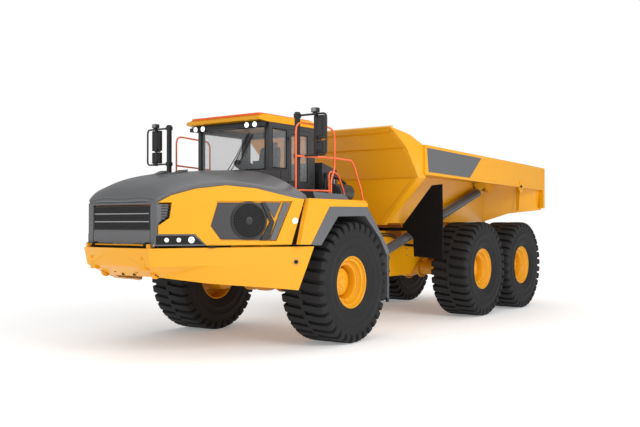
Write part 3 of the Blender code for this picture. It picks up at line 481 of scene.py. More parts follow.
panels = {
    "dump_body": (yellow, 0.010), "front_bumper": (yellow, 0.012), "hood_side_left": (yellow, 0.008),
    "hood_side_right": (yellow, 0.008), "nose_mask": (greyPaint, 0.006), "fender_left": (greyPaint, 0.012),
    "fender_right": (greyPaint, 0.012), "deck_left": (yellow, 0.010), "deck_right": (yellow, 0.010),
    "cab_body": (charcoal, 0.008), "cab_door": (charcoal, 0.005), "front_frame": (yellow, 0.008),
    "rear_frame": (yellow, 0.008), "bogie_beams": (yellow, 0.010), "wheel_guards": (guardRubber, 0.006),
    "steering_hitch": (yellow, 0.006), "light_bar": (black, 0.008), "equipment_box": (charcoal, 0.010),
    "access_ladder": (black, 0.004), "front_axle": (yellow, 0.0), "mid_axle": (yellow, 0.0),
    "rear_axle": (yellow, 0.0), "engine_block": (charcoal, 0.02), "steering_console": (black, 0.008),
}
for node, (material, edge) in panels.items():
    edged(node, material, edge)
for node in ("windscreen", "rear_window", "side_window_right", "quarter_window_left", "door_glass"):
    for holder in nodes[node].material_slots:
        holder.link = "OBJECT"
        holder.material = tintedGlass
print("panels made")


# hood skin: one crowned sheet over the engine

hood = {
    "seam": [(0.775, -3.44, 2.42, 2.45), (0.88, -3.24, 2.54, 2.62), (1.06, -2.91, 2.64, 2.76),
             (1.30, -2.49, 2.70, 2.86), (1.52, -2.07, 2.66, 2.92), (1.84, -1.50, 2.52, 2.96),
             (1.93, -1.30, 2.50, 2.97)],
    "skin": 0.05, "across": 28, "along": 6,
}


def spline(values, t):
    # a smooth curve through evenly numbered values
    last = len(values) - 1
    i = min(int(t), last - 1)
    f = t - i
    before, here, after, beyond = (values[max(i - 1, 0)], values[i], values[i + 1],
                                   values[min(i + 2, last)])
    return 0.5 * (2 * here + (after - before) * f + (2 * before - 5 * here + 4 * after - beyond) * f * f
                  + (3 * here - before - 3 * after + beyond) * f ** 3)


def hoodPoint(station, across, lift=0.0):
    # across runs from -1 at the right seam to 1 at the left one
    x, y, z, crown = [spline([row[i] for row in hood["seam"]], station) for i in range(4)]
    fall = abs(across) ** 2.6
    shoulder = 0.03 * math.sin(math.pi * min(1, abs(across) / 0.9)) * abs(across)
    return front(x * across, y, crown + (z - crown) * fall + shoulder + lift)


bm = bmesh.new()
rows = []
stationCount = (len(hood["seam"]) - 1) * hood["along"]
for step in range(stationCount + 1):
    row = []
    for j in range(hood["across"] + 1):
        row.append(bm.verts.new(hoodPoint(step / hood["along"], -1 + 2 * j / hood["across"])))
    rows.append(row)
for low, high in zip(rows, rows[1:]):
    for j in range(hood["across"]):
        bm.faces.new((low[j], low[j + 1], high[j + 1], high[j]))
hoodSkin = meshPiece("hood_skin", bm, greyPaint, "hood", "charcoal_paint", ("hood_top",), angle=60)
thick = hoodSkin.modifiers.new("thickness", "SOLIDIFY")
thick.thickness = hood["skin"]
thick.offset = -1.0
rounded = hoodSkin.modifiers.new("edges", "BEVEL")
rounded.width = 0.012
rounded.segments = 3
rounded.limit_method = "ANGLE"
rounded.angle_limit = math.radians(50)

# turned-down lip along the hood's front and side edges
bm = bmesh.new()
lip = []
for step in range(stationCount, -1, -1):
    lip.append((hoodPoint(step / hood["along"], -1, -0.012), 0.075))
for j in range(1, hood["across"]):
    lip.append((hoodPoint(0, -1 + 2 * j / hood["across"], -0.012),
                0.060 + 0.02 * math.sin(math.pi * j / hood["across"])))
for step in range(stationCount + 1):
    lip.append((hoodPoint(step / hood["along"], 1, -0.012), 0.075))
upper = [bm.verts.new(spot + Vector((-0.014 if spot.x > 0 else 0.014, 0.012, 0))) for spot, drop in lip]
lower = [bm.verts.new(spot + Vector((-0.022 if spot.x > 0 else 0.022, 0.016, -drop))) for spot, drop in lip]
for i in range(len(lip) - 1):
    bm.faces.new((upper[i], upper[i + 1], lower[i + 1], lower[i]))
hoodLip = meshPiece("hood_lip", bm, greyPaint, "hood", angle=60)
lipThick = hoodLip.modifiers.new("thickness", "SOLIDIFY")
lipThick.thickness = 0.008
lipThick.offset = 0

ventSpots = (0.16, -0.16)
bm = bmesh.new()
for across in ventSpots:
    ring = [hoodPoint(2.6, across - 0.055, -0.004), hoodPoint(2.6, across + 0.055, -0.004),
            hoodPoint(3.35, across + 0.075, -0.004), hoodPoint(3.35, across - 0.075, -0.004)]
    rise = [Vector((0, 0.02, 0.006))] * 2 + [Vector((0, 0, 0.045))] * 2
    addLoft(bm, [ring, [spot + lift for spot, lift in zip(ring, rise)]])
meshPiece("hood_vents", bm, charcoal, "hood", edge=0.006)
# near-black boxes in the vents' mouths: painted shade for the openings
bm = bmesh.new()
for across in ventSpots:
    back = hoodPoint(3.36, across, 0.016)
    addBox(bm, back - Vector((0.085, 0.002, 0.016)), back + Vector((0.085, 0.004, 0.016)))
meshPiece("hood_vent_shade", bm, blackAndPaintedShade, "hood")
print("hood made")


# nose sides: recess with the fan, vent and headlamps

sideStart = Vector((0.80, -3.39, 0))
sideRun = (Vector((1.93, -1.33, 0)) - sideStart).normalized()
sideOut = Vector((sideRun.y, -sideRun.x, 0))


def onSide(side, y, z, depth=0.0):
    base = sideStart + sideRun * ((y - sideStart.y) / sideRun.y) - sideOut * depth
    return front(side * base.x, base.y, z)


def outOf(side):
    return Vector((side * sideOut.x, sideOut.y, 0))


def alongOf(side):
    return Vector((side * sideRun.x, sideRun.y, 0))


# backing plate, bar, corner and strut: finish, depth, thickness, rounding and outline
recessPanels = (
    ("recess_plate", charcoal, 0.040, 0.006, 0.0,
     [(-2.600, 2.375), (-2.695, 2.02), (-2.56, 1.815), (-1.99, 1.80), (-1.82, 2.38)]),
    ("recess_bar", greyPaint, 0.036, 0.030, 0.005, [(-1.86, 1.80), (-1.775, 1.80), (-1.56, 2.385),
                                                    (-1.66, 2.385)]),
    ("recess_corner", cylinderGrey, 0.036, 0.010, 0.002, [(-1.93, 2.385), (-1.69, 2.385), (-1.79, 2.14)]),
    ("recess_strut", black, 0.034, 0.026, 0.005,
     [(-2.00, 1.80), (-1.87, 1.80), (-1.795, 2.08), (-1.93, 2.385), (-1.985, 2.385), (-1.86, 2.08)]),
)
fan = {"y": -2.16, "z": 2.10, "radius": 0.295, "slats": 15}
lampSlot = [(-3.44, 1.878), (-2.94, 1.878), (-2.80, 1.745), (-3.44, 1.745)]
lamps = [(-3.30, 1.812, 0.030), (-3.14, 1.812, 0.030), (-2.97, 1.812, 0.046)]

for sideName, side in sideNames.items():
    out = outOf(side)
    for name, material, depth, thickness, edge, outline in recessPanels:
        bm = bmesh.new()
        addPrism(bm, [onSide(side, y, z, depth) for y, z in outline], out * thickness)
        slot = "black_plastic" if material is black else "charcoal_paint"
        meshPiece(f"{name}_{sideName}", bm, material, "hood", slot, edge=edge)

    # fan: round guard with slats and a middle boss, over a near-black disc of painted shade inside the
    # housing
    middle = onSide(side, fan["y"], fan["z"], 0.036)
    bm = bmesh.new()
    addLathe(bm, middle, out, [(0.0, fan["radius"]), (0.014, fan["radius"]), (0.018, fan["radius"] - 0.010),
                               (0.018, fan["radius"] - 0.030), (0.008, fan["radius"] - 0.038),
                               (0.0, fan["radius"] - 0.038)], 72, closed=True)
    for number in range(1, 9):
        ringRadius = fan["radius"] * number / 9
        addLathe(bm, middle, out, [(0.006, ringRadius), (0.011, ringRadius), (0.011, ringRadius - 0.005),
                                   (0.006, ringRadius - 0.005)], 60, closed=True)
    for number in range(fan["slats"]):
        swing = math.pi * number / fan["slats"]
        arm = alongOf(side) * math.cos(swing) + Vector((0, 0, math.sin(swing)))
        reach = arm * (fan["radius"] - 0.03)
        addBar(bm, middle - reach + out * 0.007, middle + reach + out * 0.007, 0.0028, 6)
    addLathe(bm, middle, out, [(0.0, 0.06), (0.014, 0.058), (0.018, 0.045), (0.018, 0.004)], 40)
    meshPiece(f"fan_guard_{sideName}", bm, black, "hood")
    bm = bmesh.new()
    # near-black disc behind the guard: painted shade inside the fan housing
    addLathe(bm, middle, out, [(0.0, fan["radius"] - 0.03), (0.003, fan["radius"] - 0.03)], 60)
    meshPiece(f"fan_shade_disc_{sideName}", bm, blackAndPaintedShade, "hood")

    # side vent beside the nose
    bm = bmesh.new()
    for number in range(8):
        z = 2.03 + 0.04 * number
        lead = -3.365
        trail = -3.245 - 0.12 * max(0, (2.16 - z)) / 0.14 * 0.9
        addPrism(bm, [onSide(side, lead, z, 0.012), onSide(side, trail, z, 0.012),
                      onSide(side, trail, z + 0.012, 0.018), onSide(side, lead, z + 0.012, 0.018)],
                      out * 0.004)
    meshPiece(f"side_vent_{sideName}", bm, black, "hood")

    # headlamps: dark slot, three lamps and their rings
    bm = bmesh.new()
    addPrism(bm, [onSide(side, y, z, 0.006) for y, z in lampSlot], out * 0.003)
    meshPiece(f"lamp_slot_{sideName}", bm, blackAndPaintedShade, "hood")
    bm = bmesh.new()
    rim = bmesh.new()
    for y, z, radius in lamps:
        spot = onSide(side, y, z, 0.004)
        addLathe(bm, spot, out, [(0.0, radius), (0.008, radius * 0.92), (0.012, radius * 0.6),
                                 (0.0135, 0.002)], 28)
        addLathe(rim, spot, out, [(0.0, radius + 0.008), (0.012, radius + 0.007), (0.012, radius + 0.001),
                                  (0.0, radius + 0.001)], 32, closed=True)
    meshPiece(f"headlamps_{sideName}", bm, lampWhite, "hood", "black_plastic")
    meshPiece(f"headlamp_rings_{sideName}", rim, steel, "hood", "dark_steel")

    # round cap at the rear of the nose
    # the cap wears the glowing lamp finish, a painted glow, though it is no lamp
    bm = bmesh.new()
    addLathe(bm, onSide(side, -1.49, 2.10, 0.002), out, [(0.0, 0.046), (0.008, 0.044), (0.012, 0.034),
                                                         (0.006, 0.028), (0.006, 0.002)], 32)
    meshPiece(f"white_cap_{sideName}", bm, lampWhite, "hood", "body_yellow")
print("nose sides made")


# grille: fine mesh between plain bars

grille = {"half": 0.635, "low": 1.975, "high": 2.315, "plane": -3.432, "cell": 0.026}
bm = bmesh.new()
for direction in (1, -1):
    height = grille["high"] - grille["low"]
    offset = -grille["half"] - height
    while offset < grille["half"]:
        startX, startZ = offset, grille["low"]
        endX, endZ = offset + height, grille["high"]
        if startX < -grille["half"]:
            startZ += -grille["half"] - startX
            startX = -grille["half"]
        if endX > grille["half"]:
            endZ -= endX - grille["half"]
            endX = grille["half"]
        if endZ > startZ:
            addBar(bm, front(direction * startX, grille["plane"], startZ),
                   front(direction * endX, grille["plane"], endZ), 0.0032, 5)
        offset += grille["cell"]
meshPiece("grille_mesh", bm, black, "grille")
bm = bmesh.new()
half = grille["half"] + 0.005
frameBars = [((-half, 1.958), (half, 1.978)), ((-half, 2.308), (half, 2.322)),
             ((-half, 1.97), (-half + 0.02, 2.32)),
             ((half - 0.02, 1.97), (half, 2.32))]
for (x0, z0), (x1, z1) in frameBars:
    frontBox(bm, x0, -3.438, z0, x1, -3.425, z1)
meshPiece("grille_border", bm, black, "grille", edge=0.003)
bm = bmesh.new()
for z in (2.085, 2.205):
    frontBox(bm, -half + 0.02, -3.4395, z - 0.009, half - 0.02, -3.428, z + 0.009)
meshPiece("grille_strips", bm, steel, "grille", "black_plastic", edge=0.003)
bm = bmesh.new()
frontSlab(bm, 0, 0.644, -3.4388, -3.4302, 1.757, 1.957)
meshPiece("grille_panel", bm, greyPaint, "grille", edge=0.004)
edged("grille_step", blackAndPaintedShade, 0.0)
bm = bmesh.new()
frontSlab(bm, 0, 0.76, -3.405, -3.375, 1.640, 1.752)
meshPiece("bumper_seal", bm, blackAndPaintedShade, "front_chassis", "black_rubber")
print("grille made")


# bumper fittings

bm = bmesh.new()
for side in (-1, 1):
    eye = front(side * 0.57, -3.265, 1.30)
    addRing(bm, eye - Vector((0.022, 0, 0)), (1, 0, 0), 0.044, 0.075, 0.034, 36)
    addBox(bm, eye + Vector((-0.022, 0.02, -0.05)), eye + Vector((0.022, 0.16, 0.075)))
    addBolt(bm, front(side * 0.57, -3.532, 1.54), (0, -1, 0.1), 0.020)
    addBar(bm, front(side * 1.185, -2.715, 1.20), front(side * 1.195, -2.72, 1.19), 0.004, 8)
meshPiece("tow_eyes", bm, yellow, edge=0.003)
# near-black fills in the bumper's holes and slots, painted shade in the openings, with small clips on its
# top
bm = bmesh.new()
for side in (-1, 1):
    addBar(bm, front(side * 0.25, -3.345, 1.33), front(side * 0.25, -3.305, 1.325), 0.024, 20)
    frontSlab(bm, side * 0.13, 0.008, -3.305, -3.245, 1.262, 1.305)
    hole = front(side * 1.852, -1.478, 1.45)
    outward = Vector((side * 0.88, -0.475, 0))
    addLathe(bm, hole, outward, [(-0.02, 0.032), (0.006, 0.032), (0.006, 0.002)], 28)
    clip = front(side * 1.20, -2.69, 1.70)
    addBox(bm, clip - Vector((0.03, 0.06, 0.012)), clip + Vector((0.03, 0.06, 0.016)))
meshPiece("bumper_hole_shade", bm, blackAndPaintedShade)
bm = bmesh.new()
for side in (-1, 1):
    outward = Vector((side * 0.88, -0.475, 0))
    along = Vector((side * 0.475, 0.88, 0))
    hole = front(side * 1.852, -1.478, 1.45)
    for number in range(6):
        swing = math.tau * number / 6
        addBolt(bm, hole + outward * 0.004 + (along * math.cos(swing) + Vector((0, 0,
                                                                                math.sin(swing)))) * 0.055,
                outward, 0.007)
meshPiece("bumper_bolts", bm, steel, "front_chassis", "body_yellow")


# cab details

cab = {"half": 0.84, "front": -0.94, "rear": 0.38, "top": 3.80, "floor": 2.47}


def addFrame(bm, corners, inset, push):
    # a flat frame round an opening, from its corners
    corners = [Vector(corner) for corner in corners]
    middle = sum(corners, Vector()) / len(corners)
    inner = [corner + (middle - corner).normalized() * inset * 1.4 for corner in corners]
    push = Vector(push)
    addLoft(bm, [corners, inner, [c + push for c in inner], [c + push for c in corners]], closed=True)


def sideRing(x, y0, y1, z0, z1):
    return [front(x, y0, z0), front(x, y1, z0), front(x, y1, z1), front(x, y0, z1)]


def acrossRing(half, y, z0, z1):
    return [front(-half, y, z0), front(half, y, z0), front(half, y, z1), front(-half, y, z1)]


bm = bmesh.new()
half = cab["half"]
addFrame(bm, acrossRing(half - 0.07, cab["front"] - 0.002, 2.99, 3.73), 0.022, (0, 0.014, 0))
addFrame(bm, sideRing(half + 0.002, -0.85, -0.44, 3.01, 3.71), 0.018, (-0.012, 0, 0))
addFrame(bm, sideRing(-half - 0.002, -0.83, 0.27, 3.01, 3.71), 0.018, (0.012, 0, 0))
addFrame(bm, acrossRing(half - 0.09, cab["rear"] + 0.002, 2.94, 3.69), 0.018, (0, -0.012, 0))
meshPiece("window_seals", bm, blackAndPaintedShade)
bm = bmesh.new()
addFrame(bm, sideRing(half + 0.002, -0.33, 0.17, 2.79, 3.65), 0.018, (-0.012, 0, 0))
frontBox(bm, half, 0.13, 2.66, half + 0.022, 0.19, 2.685)
frontBox(bm, half - 0.002, 0.115, 2.64, half + 0.006, 0.20, 2.705)
meshPiece("door_seal_and_handle", bm, black, "cab_door", edge=0.002)

# lamps in the visor, with their housings
lampX = (-0.70, -0.52, 0.52, 0.70)
glow = bmesh.new()
shells = bmesh.new()
for x in lampX:
    spot = front(x, cab["front"] - 0.215, 3.745)
    addBox(shells, spot + Vector((-0.062, 0.004, -0.050)), spot + Vector((0.062, 0.10, 0.050)))
    addLathe(glow, spot + Vector((0, 0.006, 0)), (0, -1, 0), [(0.0, 0.047), (0.008, 0.045), (0.016, 0.032),
                                                              (0.019, 0.002)], 28)
meshPiece("roof_lamp_shells", shells, black, edge=0.008)
meshPiece("roof_lamps", glow, lampWhite, "front_chassis", "black_plastic")

edged("cab_roof", yellow)
bm = bmesh.new()
frontBox(bm, -half + 0.02, cab["front"] - 0.19, 3.785, half - 0.02, cab["front"] - 0.02, 3.798)
meshPiece("visor_underside", bm, black, edge=0.003)
railHigh = cab["top"] + 0.128
ring = [front(-half + 0.03, cab["front"] - 0.20, railHigh), front(half - 0.03, cab["front"] - 0.20,
                                                                  railHigh),
        front(half - 0.03, cab["rear"] - 0.10, railHigh), front(-half + 0.03, cab["rear"] - 0.10, railHigh)]
tubePiece("roof_rail", [ring], 0.016, railOrange, closed=True)
posts = []
for x in (-half + 0.03, half - 0.03):
    for y in (cab["front"] - 0.12, -0.40, cab["rear"] - 0.18):
        posts.append([front(x, y, cab["top"] + 0.03), front(x, y, railHigh)])
tubePiece("roof_rail_posts", posts, 0.010, railOrange)

# two long wipers
wipers = [[front(x, cab["front"] - 0.022, z) for x, z in path]
          for path in (((-0.10, 2.99), (0.10, 3.22), (0.36, 3.60)),
                       ((-0.02, 2.99), (0.18, 3.20), (0.44, 3.58)))]
tubePiece("wiper_arms", wipers, 0.008, black)
bm = bmesh.new()
for (x0, z0), (x1, z1) in (((0.06, 3.12), (0.40, 3.64)), ((0.14, 3.10), (0.47, 3.60))):
    edgeA, edgeB = front(x0, cab["front"] - 0.016, z0), front(x1, cab["front"] - 0.016, z1)
    addPrism(bm, [edgeA, edgeB, edgeB + Vector((0.014, 0, -0.008)), edgeA + Vector((0.014, 0, -0.008))],
             (0, 0.012, 0))
meshPiece("wiper_blades", bm, blackAndPaintedShade)

# seams on the cab's lower side and front
bm = bmesh.new()
for side in (-1, 1):
    frontSlab(bm, side * half, 0.003, -0.62, -0.612, 2.50, 2.98)
    frontSlab(bm, side * half, 0.003, cab["front"] + 0.02, -0.43, 2.985, 2.992)
frontBox(bm, -half + 0.02, -1.287, 2.70, half - 0.02, -1.283, 2.706)
meshPiece("cab_shut_lines", bm, blackAndPaintedShade)

# steering wheel and dashboard
bm = bmesh.new()
hub = front(0, -0.60, cab["floor"] + 0.62)
tiltAxis = Vector((0, 0.45, 0.89))
ringPoints = []
for number in range(48):
    swing = math.tau * number / 48
    ringPoints.append(hub + Vector((1, 0, 0)) * 0.20 * math.cos(swing)
                      + tiltAxis.cross(Vector((1, 0, 0))).normalized() * 0.20 * math.sin(swing))
tubePiece("steering_wheel", [ringPoints], 0.014, black, bend=0.0,
          closed=True)
for number in range(3):
    addBar(bm, hub - tiltAxis * 0.02, ringPoints[8 + 16 * number], 0.011, 10)
addBar(bm, hub - tiltAxis * 0.04, hub + tiltAxis * 0.012, 0.045, 24)
frontSlab(bm, 0, 0.76, -0.86, -0.72, 2.86, 2.98)
frontBox(bm, -0.70, -0.50, 2.60, -0.45, 0.20, 2.82)
frontBox(bm, 0.30, -0.74, 3.02, 0.50, -0.71, 3.16)
meshPiece("dashboard", bm, black, edge=0.012)
print("cab made")


# seat: padded cushion, back and head roll

seatParts = {
    "cushion": {"low": (-0.25, -0.40, 2.845), "high": (0.25, 0.10, 2.965), "lean": 0.0},
    "back": {"low": (-0.24, 0.03, 2.97), "high": (0.24, 0.145, 3.50), "lean": 0.12},
    "head": {"low": (-0.14, 0.095, 3.50), "high": (0.14, 0.185, 3.575), "lean": 0.1},
}


def padPiece(name, low, high, lean):
    bm = bmesh.new()
    frontBox(bm, *low, *high)
    bmesh.ops.subdivide_edges(bm, edges=bm.edges, cuts=7, use_grid_fill=True)
    middle = (front(*low) + front(*high)) / 2
    size = Vector(high) - Vector(low)
    for vert in bm.verts:
        local = vert.co - middle
        u, v, w = (2 * local.x / size.x, 2 * local.y / size.y, 2 * local.z / size.z)
        pull = 1 - 0.05 * (abs(u * v) + abs(v * w) + abs(u * w))
        channel = 0.006 * math.cos(u * 3 * math.pi) * (1 - abs(u))
        vert.co = middle + local * pull + Vector((0, -channel if size.z > size.y else 0,
                                                  channel if size.z < size.y else 0))
        vert.co.y += lean * (vert.co.z - middle.z)
    piece = meshPiece(name, bm, seatCloth, angle=80)
    rounding = piece.modifiers.new("roundness", "SUBSURF")
    rounding.levels = 2
    rounding.render_levels = 2
    return piece


for part, sizes in seatParts.items():
    padPiece(f"seat_{part}", **sizes)
bm = bmesh.new()
frontSlab(bm, 0, 0.22, -0.36, 0.10, 2.80, 2.85)
frontSlab(bm, 0, 0.15, -0.28, 0.02, 2.475, 2.80)
frontSlab(bm, 0, 0.20, 0.13, 0.16, 2.90, 3.42)
for side in (-1, 1):
    frontSlab(bm, side * 0.30, 0.035, -0.28, 0.04, 3.03, 3.08)
    frontSlab(bm, side * 0.30, 0.015, -0.02, 0.03, 2.84, 3.04)
meshPiece("seat_frame", bm, black, "front_chassis", "seat_cloth", ("operator_seat",), edge=0.008)
print("seat made")


# rails and mirrors

railRadius = 0.0165
for sideName, side in sideNames.items():
    x = side * 1.86
    inner = side * 1.62
    foot = 2.462
    hoop = [front(x, -0.54, foot), front(x, -0.54, 2.80), front(x, -0.44, 2.96), front(x, -0.44, 3.66),
            front(inner, -1.19, 3.72), front(inner, -1.19, foot)]
    longBar = [front(inner, -1.19, 3.16), front(x, -0.44, 3.16), front(x, 0.06, 3.15), front(x, 0.14, 3.08),
               front(x + side * 0.02, 0.36, 2.62), front(x + side * 0.02, 0.40, foot)]
    toeBar = [front(inner, -1.19, 2.60), front(x, -0.54, 2.60)]
    innerStair = [front(side * 1.50, -0.10, foot), front(side * 1.50, -0.10, 2.98),
                  front(side * 1.50, 0.18, 2.94),
                  front(side * 1.50, 0.37, 2.60), front(side * 1.50, 0.37, foot)]
    railPaths = [hoop, longBar, toeBar, innerStair]
    railFeet = [(x, -0.54), (inner, -1.19), (x + side * 0.02, 0.40), (side * 1.50, -0.10),
                (side * 1.50, 0.37)]
    if side < 0:    # plain two-bar rail beside the hood's far side
        railPaths = [[front(inner, -0.74, foot), front(inner, -0.74, 3.72), front(-1.78, 0.34, 3.70),
                      front(-1.80, 0.36, foot)], [front(inner, -0.74, 3.16), front(-1.78, 0.33, 3.14)],
                     [front(inner, -0.74, 2.60), front(-1.80, 0.35, 2.60)]]
        railFeet = [(inner, -0.74), (-1.80, 0.36)]
    tubePiece(f"handrail_{sideName}_tubes", railPaths, railRadius, railOrange,
              "front_chassis", "rail_orange", (f"handrail_{sideName}",), bend=0.16)
    bm = bmesh.new()
    for px, py in railFeet:
        addBar(bm, front(px, py, 2.461), front(px, py, 2.471), 0.040, 24)
    meshPiece(f"handrail_{sideName}_feet", bm, railOrange, edge=0.002)

    # mirrors: square pole, C-shaped tube, two stacked heads and a work lamp
    poleX = side * 1.52
    armX = side * 2.11
    bm = bmesh.new()
    frontSlab(bm, poleX, 0.036, -1.055, -0.985, 2.462, 3.90)
    frontSlab(bm, poleX, 0.06, -1.08, -0.96, 2.461, 2.475)
    for z in (3.17, 3.84):
        frontSlab(bm, poleX, 0.045, -1.07, -0.97, z - 0.035, z + 0.035)
        frontSlab(bm, side * 1.89, 0.03, -1.06, -0.98, z - 0.022, z + 0.022)
    frontSlab(bm, side * 1.89, 0.075, -0.985, -0.955, 3.415, 3.445)
    meshPiece(f"mirror_{sideName}_pole", bm, black, "front_chassis", "black_plastic",
              (f"mirror_{sideName}",),
              edge=0.008)
    outline = [front(poleX, -1.02, 3.84), front(armX, -1.02, 3.84), front(armX, -1.02, 3.17),
               front(poleX, -1.02, 3.17)]
    stem = [front(side * 1.89, -1.00, 3.16), front(side * 1.89, -1.00, 3.86)]
    tubePiece(f"mirror_{sideName}_arm", [outline], 0.017, black, bend=0.07)
    tubePiece(f"mirror_{sideName}_stem", [stem], 0.013, black)
    bm = bmesh.new()
    for z0, z1 in ((3.44, 3.825), (3.20, 3.41)):
        frontSlab(bm, side * 1.93, 0.105, -0.985, -0.905, z0, z1)
        frontSlab(bm, side * 1.93, 0.07, -1.000, -0.975, z0 + 0.04, z1 - 0.04)
    meshPiece(f"mirror_{sideName}_heads", bm, black, edge=0.028, segments=4)
    bm = bmesh.new()
    for z0, z1 in ((3.47, 3.795), (3.225, 3.385)):
        frontSlab(bm, side * 1.93, 0.082, -0.910, -0.902, z0, z1)
    meshPiece(f"mirror_{sideName}_glass", bm, mirrorGlass, "front_chassis", "black_plastic", edge=0.002)
    bm = bmesh.new()
    frontSlab(bm, side * 1.89, 0.06, -1.07, -0.97, 3.865, 3.942)
    meshPiece(f"mirror_{sideName}_lamp", bm, black, edge=0.015, segments=3)
    bm = bmesh.new()
    frontSlab(bm, side * 1.89, 0.045, -1.074, -1.068, 3.878, 3.93)
    meshPiece(f"mirror_{sideName}_lens", bm, clearLens, "front_chassis", "black_plastic", edge=0.002)

# deck: grey blank panels on the fenders' top edges, tread plates and mats
bm = bmesh.new()
for side in (-1, 1):
    board = [(1.945, -1.10, 2.462), (1.945, -0.12, 2.462), (1.905, -0.20, 2.552), (1.905, -1.10, 2.575)]
    addPrism(bm, [front(side * x, y, z) for x, y, z in board], (side * -0.006, 0, -0.003))
meshPiece("deck_side_boards", bm, greyPaint, edge=0.002)
bm = bmesh.new()
for side in (-1, 1):
    for row in range(9):
        for column in range(7):
            x = side * (0.98 + 0.105 * column)
            y = -1.12 + 0.16 * row
            swing = 0.6 if (row + column) % 2 else -0.6
            run = Vector((math.cos(swing), math.sin(swing), 0)) * 0.032
            spot = front(x, y, 2.4605)
            addBar(bm, spot - run, spot + run, 0.005, 6)
meshPiece("deck_tread", bm, black, "front_chassis", "body_yellow")
bm = bmesh.new()
for side in (-1, 1):
    frontBox(bm, side * 1.40 - 0.50, -1.20, 2.4595, side * 1.40 + 0.44, 0.34, 2.4612)
meshPiece("deck_mats", bm, charcoal)
print("rails and mirrors made")


# behind the cab: pipes, filter and columns

tubePiece("chrome_pipe", [[front(0.30, 0.66, 2.47), front(0.30, 0.66, 2.62)]], 0.03, chrome,
          "front_chassis",
          "rod_chrome")
columns = bmesh.new()
for x, y, top, radius in ((1.02, 0.50, 2.98, 0.045), (1.14, 0.50, 2.90, 0.038), (1.06, 0.40, 2.86, 0.02),
                          (-0.30, 0.62, 3.02, 0.07), (-0.55, 0.62, 2.92, 0.055)):
    addBar(columns, front(x, y, 2.462), front(x, y, top), radius, 28)
    addBar(columns, front(x, y, top), front(x, y, top + 0.012), radius * 0.8, 28)
meshPiece("rear_columns", columns, black, edge=0.005)
bm = bmesh.new()
addBar(bm, front(1.20, 0.465, 2.66), front(1.20, 0.44, 2.66), 0.12, 40)
for number in range(5):
    y = 0.52 + 0.08 * number
    addRing(bm, front(1.20, y, 2.6203), (0, 1, 0), 0.02, 0.1625, 0.155, 48)
meshPiece("filter_rings", bm, charcoal, "front_chassis", "black_plastic")
bm = bmesh.new()
for number in range(9):
    z = 2.56 + 0.052 * number
    frontBox(bm, 0.28, 0.452, z, 0.88, 0.460, z + 0.022)
    frontBox(bm, 0.9505, 0.52, z, 0.957, 0.88, z + 0.022)
meshPiece("box_louvres", bm, black, edge=0.003)
tubePiece("rear_pipes", [
    [front(0.88, 0.72, 2.90), front(1.05, 0.80, 2.92), front(1.20, 0.85, 2.79)],
    [front(-0.30, 0.62, 2.95), front(-0.05, 0.70, 3.00), front(0.22, 0.72, 2.92)],
], 0.028, black, bend=0.10)
bm = bmesh.new()
addBar(bm, front(1.165, 0.52, 2.47), front(1.165, 0.52, 2.86), 0.02, 24)
addBar(bm, front(0.955, 0.58, 2.70), front(0.975, 0.58, 2.70), 0.04, 28)
meshPiece("bright_fittings", bm, chrome, edge=0.003)
print("equipment made")


# dump body details

railFace = 1.903


def railTop(y):
    return 3.62 + (3.49 - 3.62) * (y - 2.64) / (9.02 - 2.64)


def railLow(y):
    return 3.03 + (2.92 - 3.03) * (y - 2.64) / (9.02 - 2.64)


def addEdge(bm, side, start, end, line, below, above):
    # a strip along one of the rail's two edge lines
    addPrism(bm, [front(side * 1.815, start, line(start) + below),
                  front(side * 1.815, end, line(end) + below),
                  front(side * 1.815, end, line(end) + above),
                  front(side * 1.815, start, line(start) + above)],
             (side * 0.092, 0, 0))


for sideName, side in sideNames.items():
    x = side * railFace
    # blank grey parallelogram
    bm = bmesh.new()
    outline = [front(x - side * 0.004, 2.76, railLow(2.76) + 0.06),
               front(x - side * 0.004, 4.62, railLow(4.62) + 0.055),
               front(x - side * 0.004, 5.20, railTop(5.20) - 0.05),
               front(x - side * 0.004, 2.70, railTop(2.70) - 0.05)]
    addPrism(bm, outline, (side * 0.004, 0, 0))
    meshPiece(f"body_panel_{sideName}", bm, greyPaint, "dump_body")
    # rolled edges along the top of the side and the rail's lower line, and the end post
    bm = bmesh.new()
    addEdge(bm, side, 2.70, 8.98, railTop, -0.055, 0.004)
    frontBox(bm, min(side * 1.80, side * 1.912), 8.90, 2.45, max(side * 1.80, side * 1.912), 9.012, 3.49)
    addEdge(bm, side, 2.72, 8.95, railLow, 0.0, 0.05)
    meshPiece(f"body_edges_{sideName}", bm, yellow, "dump_body", edge=0.008)
    # upright seams, gusset over the pin and the lifting eye
    bm = bmesh.new()
    addPrism(bm, [front(side * 1.58, 7.90, 2.36), front(side * 1.58, 7.90, 3.00),
                  front(side * 1.70, 7.90, 3.02),
                  front(side * 1.66, 7.90, 2.40)], (0, 0.016, 0))
    addPrism(bm, [front(side * 0.985, 6.70, 3.02), front(side * 0.985, 6.95, 2.80),
                  front(side * 1.22, 6.95, 2.98),
                  front(side * 1.22, 6.70, 3.10)], (0, 0.014, 0))
    eye = front(side * 1.905, 7.42, 2.905)
    addRing(bm, eye - Vector((0.018, 0, 0)), (1, 0, 0), 0.036, 0.095, 0.036, 32)
    addBox(bm, eye + Vector((-0.018, -0.075, 0.03)), eye + Vector((0.018, 0.075, 0.19)))
    meshPiece(f"body_ribs_{sideName}", bm, yellow, "dump_body", edge=0.003)

bm = bmesh.new()
nose = 1.60
